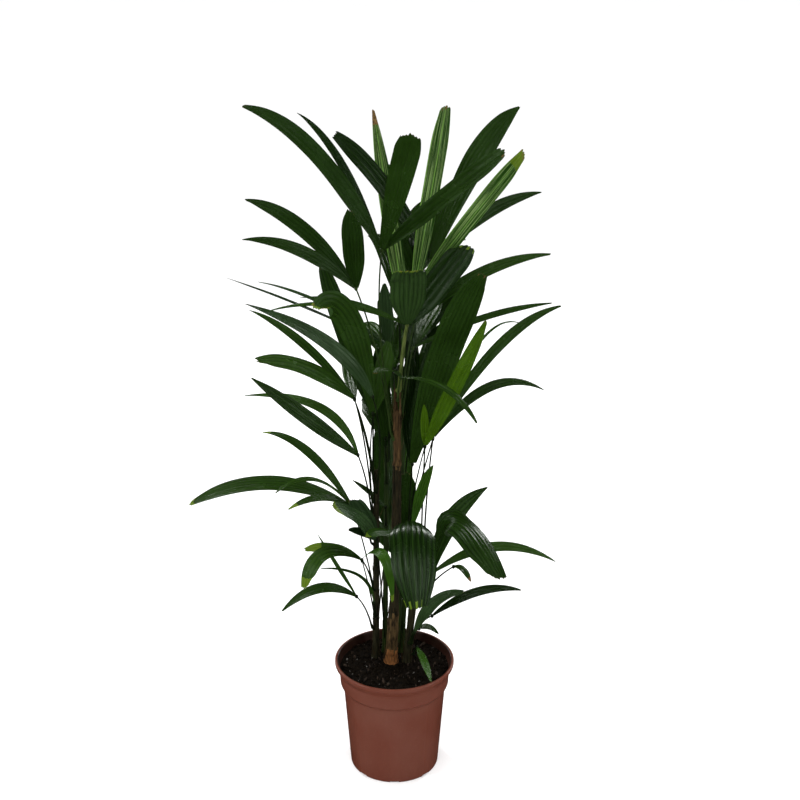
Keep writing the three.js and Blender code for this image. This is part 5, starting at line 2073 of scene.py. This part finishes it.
@dataclass
class Pot:
    """The nursery pot: rolled rim, collar, tapered body and notches round its foot."""

    height: float = 205
    rim_radius: float = 105
    rim_depth: float = 9
    rim_thick: Span = (5, 6)
    rim_slope: float = 3
    rim_foot: Span = (1.5, 3.5)
    collar: Span = (97, 186)
    collar_foot: Span = (95.5, 161)
    body: Span = (90, 155)
    foot_radius: float = 78.4
    corner_round: float = 2.2
    wall: float = 2.5
    floor: float = 5
    notches: int = 8
    notch_width: float = 16
    notch_height: float = 2.6
    notch_depth: float = 11
    notch_edge: float = 0.2
    notch_hair: float = 0.05
    notch_steps: int = 7
    steps_between: int = 20

    def inner(self) -> list[Span]:
        """Gives the inside outline from the rim down to the floor.

        Returns:
            Radius and height of each point.
        """
        top, slope = self.rim_thick
        return [
            (self.rim_radius - top, self.height),
            (self.rim_radius - slope, self.height - self.rim_slope),
            (self.collar[0] - self.wall, self.collar[1]),
            (self.body[0] - self.wall, self.body[1]),
            (self.foot_radius - self.wall, self.floor),
        ]

    def outline(self) -> list[Span]:
        """Gives the whole outline, from the middle of the underside to the middle of the floor.

        Returns:
            Radius and height of each point.
        """
        lip = self.height - self.rim_depth
        under = self.foot_radius - self.notch_depth
        corners = [
            (under + self.notch_edge, 0),
            (self.foot_radius, 0),
            self.body,
            self.collar_foot,
            self.collar,
            (self.rim_radius - self.rim_foot[0], lip),
            (self.rim_radius, lip + self.rim_foot[1]),
            (self.rim_radius, self.height),
            *self.inner(),
            (0, self.floor),
        ]
        return [(0, 0), (under, 0), *rounded(corners, self.corner_round)]

    def notch(self) -> tuple[float, float]:
        """Gives the angle from one notch to the next and half the angle of a notch."""
        return math.tau / self.notches, math.asin(self.notch_width / 2 / self.foot_radius)

    def angles(self) -> Array:
        """Gives the angles of the sides, with two close ones at each side of a notch.

        Returns:
            The angles in radians.
        """
        turn, half = self.notch()
        hair = math.radians(self.notch_hair)
        made = []
        for middle in (-math.pi / 2 + k * turn for k in range(self.notches)):
            made.extend(middle + np.linspace(-half, half, self.notch_steps))
            made.extend(np.linspace(middle + half + hair, middle + turn - half - hair, self.steps_between))
        return np.array(made)

    def notched(self, radius: float, angle: float, height: float) -> Point:
        """Lifts a point of the underside that lies in a notch.

        Args:
            radius: Its distance from the axis.
            angle: Its angle, in radians.
            height: Its height.

        Returns:
            The three, lifted.
        """
        turn, half = self.notch()
        off = (angle + math.pi / 2 + turn / 2) % turn - turn / 2
        beside = half + math.radians(self.notch_hair) / 2
        if abs(off) <= beside and radius > self.foot_radius - self.notch_depth + self.notch_edge / 2:
            height = max(height, self.notch_height)
        return radius, angle, height

    def build(self) -> None:
        """Turns and dresses the pot."""
        piece = turned("pot_shell", self.outline(), self.angles(), self.notched)
        piece.data.materials.append(PotFinish().material())
        ready(piece, "pot", "pot")


@dataclass
class Soil:
    """The peat in the pot: a loose surface with crumbs, bark chips and pale grey flecks, which are also
    painted glints.
    """

    pot: Pot
    sides: int = 120
    rings: int = 40
    edge_gap: float = 0.5
    seed: int = 4

    # Lumps: height, how often they come in a metre, share of the small ones, and their calm edge
    lumps: float = 9.0
    lump_scale: float = 38.0
    small_scale: float = 190.0
    small_share: float = 0.6
    edge_span: Span = (0.08, 0.094)
    edge_share: Span = (1, 0.15)

    # Crumbs: count on a square metre, sizes in metres, and the chances above which they differ
    crumbs: float = 42000.0
    level_from: float = 0.6
    smallest: float = 0.0008
    spread: float = 0.0032
    chip_from: float = 0.86
    # Above this chance a crumb is a pale grey fleck, which is also a painted glint
    glint_fleck_from: float = 0.95
    longer: float = 1.4
    glint_fleck_smaller: float = -0.45
    widths: Span = (0.6, 1.2)
    flat: float = 0.7

    def outline(self) -> list[Span]:
        """Gives the plug's outline from the middle of its foot to the middle of its top.

        Returns:
            Radius and height of each point.
        """
        (rim, rim_height), (collar, collar_height), (body, body_height), (foot, _) = self.pot.inner()[1:]
        edge = collar + (rim - collar) * (SOIL_LEVEL - collar_height) / (rim_height - collar_height)
        level = self.pot.floor + GAP
        outside = [(foot, level), (body, body_height), (collar, collar_height), (edge, SOIL_LEVEL)]
        outside = [(radius - self.edge_gap, height) for radius, height in outside]
        radii = np.linspace(outside[-1][0], 0, self.rings)[1:-1]
        return [(0, level), *outside, *((radius, SOIL_LEVEL) for radius in radii), (0, SOIL_LEVEL)]

    def sizes(self) -> dict[str, object]:
        """Gives the sizes that the tree takes."""
        lumps = self.lumps * MM
        return {"Level": SOIL_LEVEL * MM, "Lumps": lumps, "Crumbs": self.crumbs, "Seed": self.seed}

    def ground(self, tree: GeometryTree) -> Value:
        """Adds the plug with lumps on its top.

        Args:
            tree: The tree.

        Returns:
            The ground.
        """
        place = tree.node("InputPosition")
        top = tree.along("Z", place) > tree["Level"] - MM / 2
        off_axis = tree.vectors("LENGTH", tree.vectors("MULTIPLY", place, (1.0, 1.0, 0.0)))
        calm = tree.ranged(off_axis, self.edge_span, self.edge_share)
        small = (tree.noise(place, self.small_scale, 2.0) - 0.5) * self.small_share
        rise = (tree.noise(place, self.lump_scale, 3.0) - 0.5 + small) * tree["Lumps"] * calm
        return tree.moved(tree["Guides"], Selection=top, Offset=tree.vector(0.0, 0.0, rise))

    def tree(self) -> GeometryTree:
        """Builds the tree: lumps on the plug's top, and crumbs, chips and flecks strewn on it; the flecks are
        also painted glints.

        Returns:
            The tree.
        """
        tree = GeometryTree("soil", self.sizes(), tuple(SOIL_FINISHES))
        ground = self.ground(tree)
        upward = tree.along("Z", tree.node("InputNormal")) > self.level_from
        spots = tree.stored(tree.spots(ground, upward * tree["Crumbs"]), "kind", tree.chance(0.0, 1.0, 1))
        own = tree.attribute("kind")
        chip = own > self.chip_from
        glint_fleck = own > self.glint_fleck_from
        size = tree.chance(0.0, 1.0, 5) ** 3 * self.spread + self.smallest
        size = size * (glint_fleck * self.glint_fleck_smaller + 1.0)
        shape = tree.vector(chip * self.longer + 1.0, tree.chance(*self.widths, 6), self.flat)
        turns = tree.vector(*(tree.chance(0.0, math.tau, salt) for salt in (2, 3, 4)))
        crumb = tree.node("MeshIcoSphere", {"Radius": 1.0, "Subdivisions": 1})
        crumbs = tree.strewn(spots, crumb, turns, tree.vectors("SCALE", shape, size))
        return tree.end(tree.join(ground, crumbs), {"Peat": True, "Chip": chip, "Fleck": glint_fleck})

    def build(self) -> None:
        """Grows and dresses the soil."""
        source = turned("soil_peat", self.outline(), np.arange(self.sides) / self.sides * math.tau)
        piece = self.tree().grow(source, {**self.sizes(), **materials(SOIL_FINISHES)})
        ready(piece, "soil", "soil")


@dataclass
class Studio:
    """Pale floor, soft lights and the camera at the photograph's angle."""

    camera_height: float = 1.4
    camera_back: float = 1.964
    pitch: float = 19.9
    focal_pixels: float = 1276.0
    picture: float = 800.0
    middle_pixel: float = 394.4
    sensor: float = 36.0
    sees_to: float = 500.0
    floor_reach: float = 60.0
    world: float = 1.0

    # Upright soft lights: name, place and size in metres, watts
    aim: Point = (0, 0, 0.62)
    boxes: tuple[tuple[str, Point, Span, float], ...] = (
        ("light_left", (-2.3, -1.1, 1.7), (0.3, 1.6), 26),
        ("light_right", (2.3, -1.0, 1.5), (0.3, 1.6), 20),
        ("light_front", (-1.0, -2.7, 2.3), (0.3, 1.4), 8),
        ("light_aside", (1.3, -2.5, 1.9), (0.3, 1.4), 6),
        ("light_behind_left", (-1.6, 2.2, 1.7), (0.3, 1.6), 34),
        ("light_behind_right", (1.7, 2.1, 1.6), (0.3, 1.6), 34),
    )

    # Wide, even lights, as strong at the floor's far end: name, strength, width and tilt in degrees
    overheads: tuple[tuple[str, float, float, Span], ...] = (
        ("light_overhead", 2.4, 100, (14, -6)),
        ("light_dome", 1.2, 170, (0, 0)),
    )

    def lay_floor(self) -> None:
        """Lays the floor."""
        ends = (-self.floor_reach, self.floor_reach)
        corners = [(x, y, 0) for y in ends for x in ends]
        mesh = bpy.data.meshes.new("floor")
        mesh.from_pydata(corners, [], [(0, 1, 3, 2)])
        mesh.materials.append(FLOOR.material())
        floor = placed("floor", mesh)
        floor.visible_glossy = False

    def hang_lights(self) -> None:
        """Hangs the lights."""
        for name, place, size, power in self.boxes:
            lamp = bpy.data.lights.new(name, "AREA")
            lamp.shape = "RECTANGLE"
            lamp.size, lamp.size_y = size
            lamp.energy = power
            holder = placed(name, lamp)
            holder.location = place
            holder.rotation_euler = (Vector(self.aim) - Vector(place)).to_track_quat("-Z", "Y").to_euler()
        for name, strength, width, tilt in self.overheads:
            lamp = bpy.data.lights.new(name, "SUN")
            lamp.energy = strength
            lamp.angle = math.radians(width)
            holder = placed(name, lamp)
            holder.rotation_euler = (math.radians(tilt[0]), math.radians(tilt[1]), 0)
            holder.visible_glossy = False

    def light_world(self) -> None:
        """Sets the light all around, which neither gloss nor scattered light reads."""
        world = bpy.data.worlds.new("world")
        bpy.context.scene.world = world
        world.use_nodes = True
        shade = world.node_tree.nodes["Background"].inputs
        shade["Color"].default_value = (1, 1, 1, 1)
        shade["Strength"].default_value = self.world
        world.cycles_visibility.glossy = False
        world.cycles_visibility.diffuse = False
        bpy.context.scene.view_settings.view_transform = "Standard"

    def set_camera(self) -> None:
        """Sets the camera."""
        lens = bpy.data.cameras.new("camera")
        lens.sensor_width = self.sensor
        lens.lens = self.focal_pixels / self.picture * lens.sensor_width
        lens.shift_x = (self.picture / 2 - self.middle_pixel) / self.picture
        lens.clip_end = self.sees_to
        holder = placed("camera", lens)
        holder.location = (0, -self.camera_back, self.camera_height)
        holder.rotation_euler = (math.radians(90 - self.pitch), 0, 0)
        bpy.context.scene.camera = holder

    def build(self) -> None:
        """Sets up floor, lights, world and camera."""
        self.lay_floor()
        self.hang_lights()
        self.light_world()
        self.set_camera()
        LOG.info("studio: floor, %d lights and camera", len(self.boxes) + len(self.overheads))


def save_sizes() -> None:
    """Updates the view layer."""
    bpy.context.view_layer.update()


def main() -> None:
    """Builds the studio, the pot, the soil and the plant."""
    logging.basicConfig(level=logging.INFO, format="%(name)s %(message)s")
    clump = Clump(CANES, [*FRONDS, *BACK.fronds()])
    clump.lay_out()
    Studio().build()
    pot = Pot()
    pot.build()
    Soil(pot).build()
    Canes(clump).build()
    Stalks(clump).build()
    Foliage(clump).build()
    save_sizes()


if __name__ == "__main__":
    main()
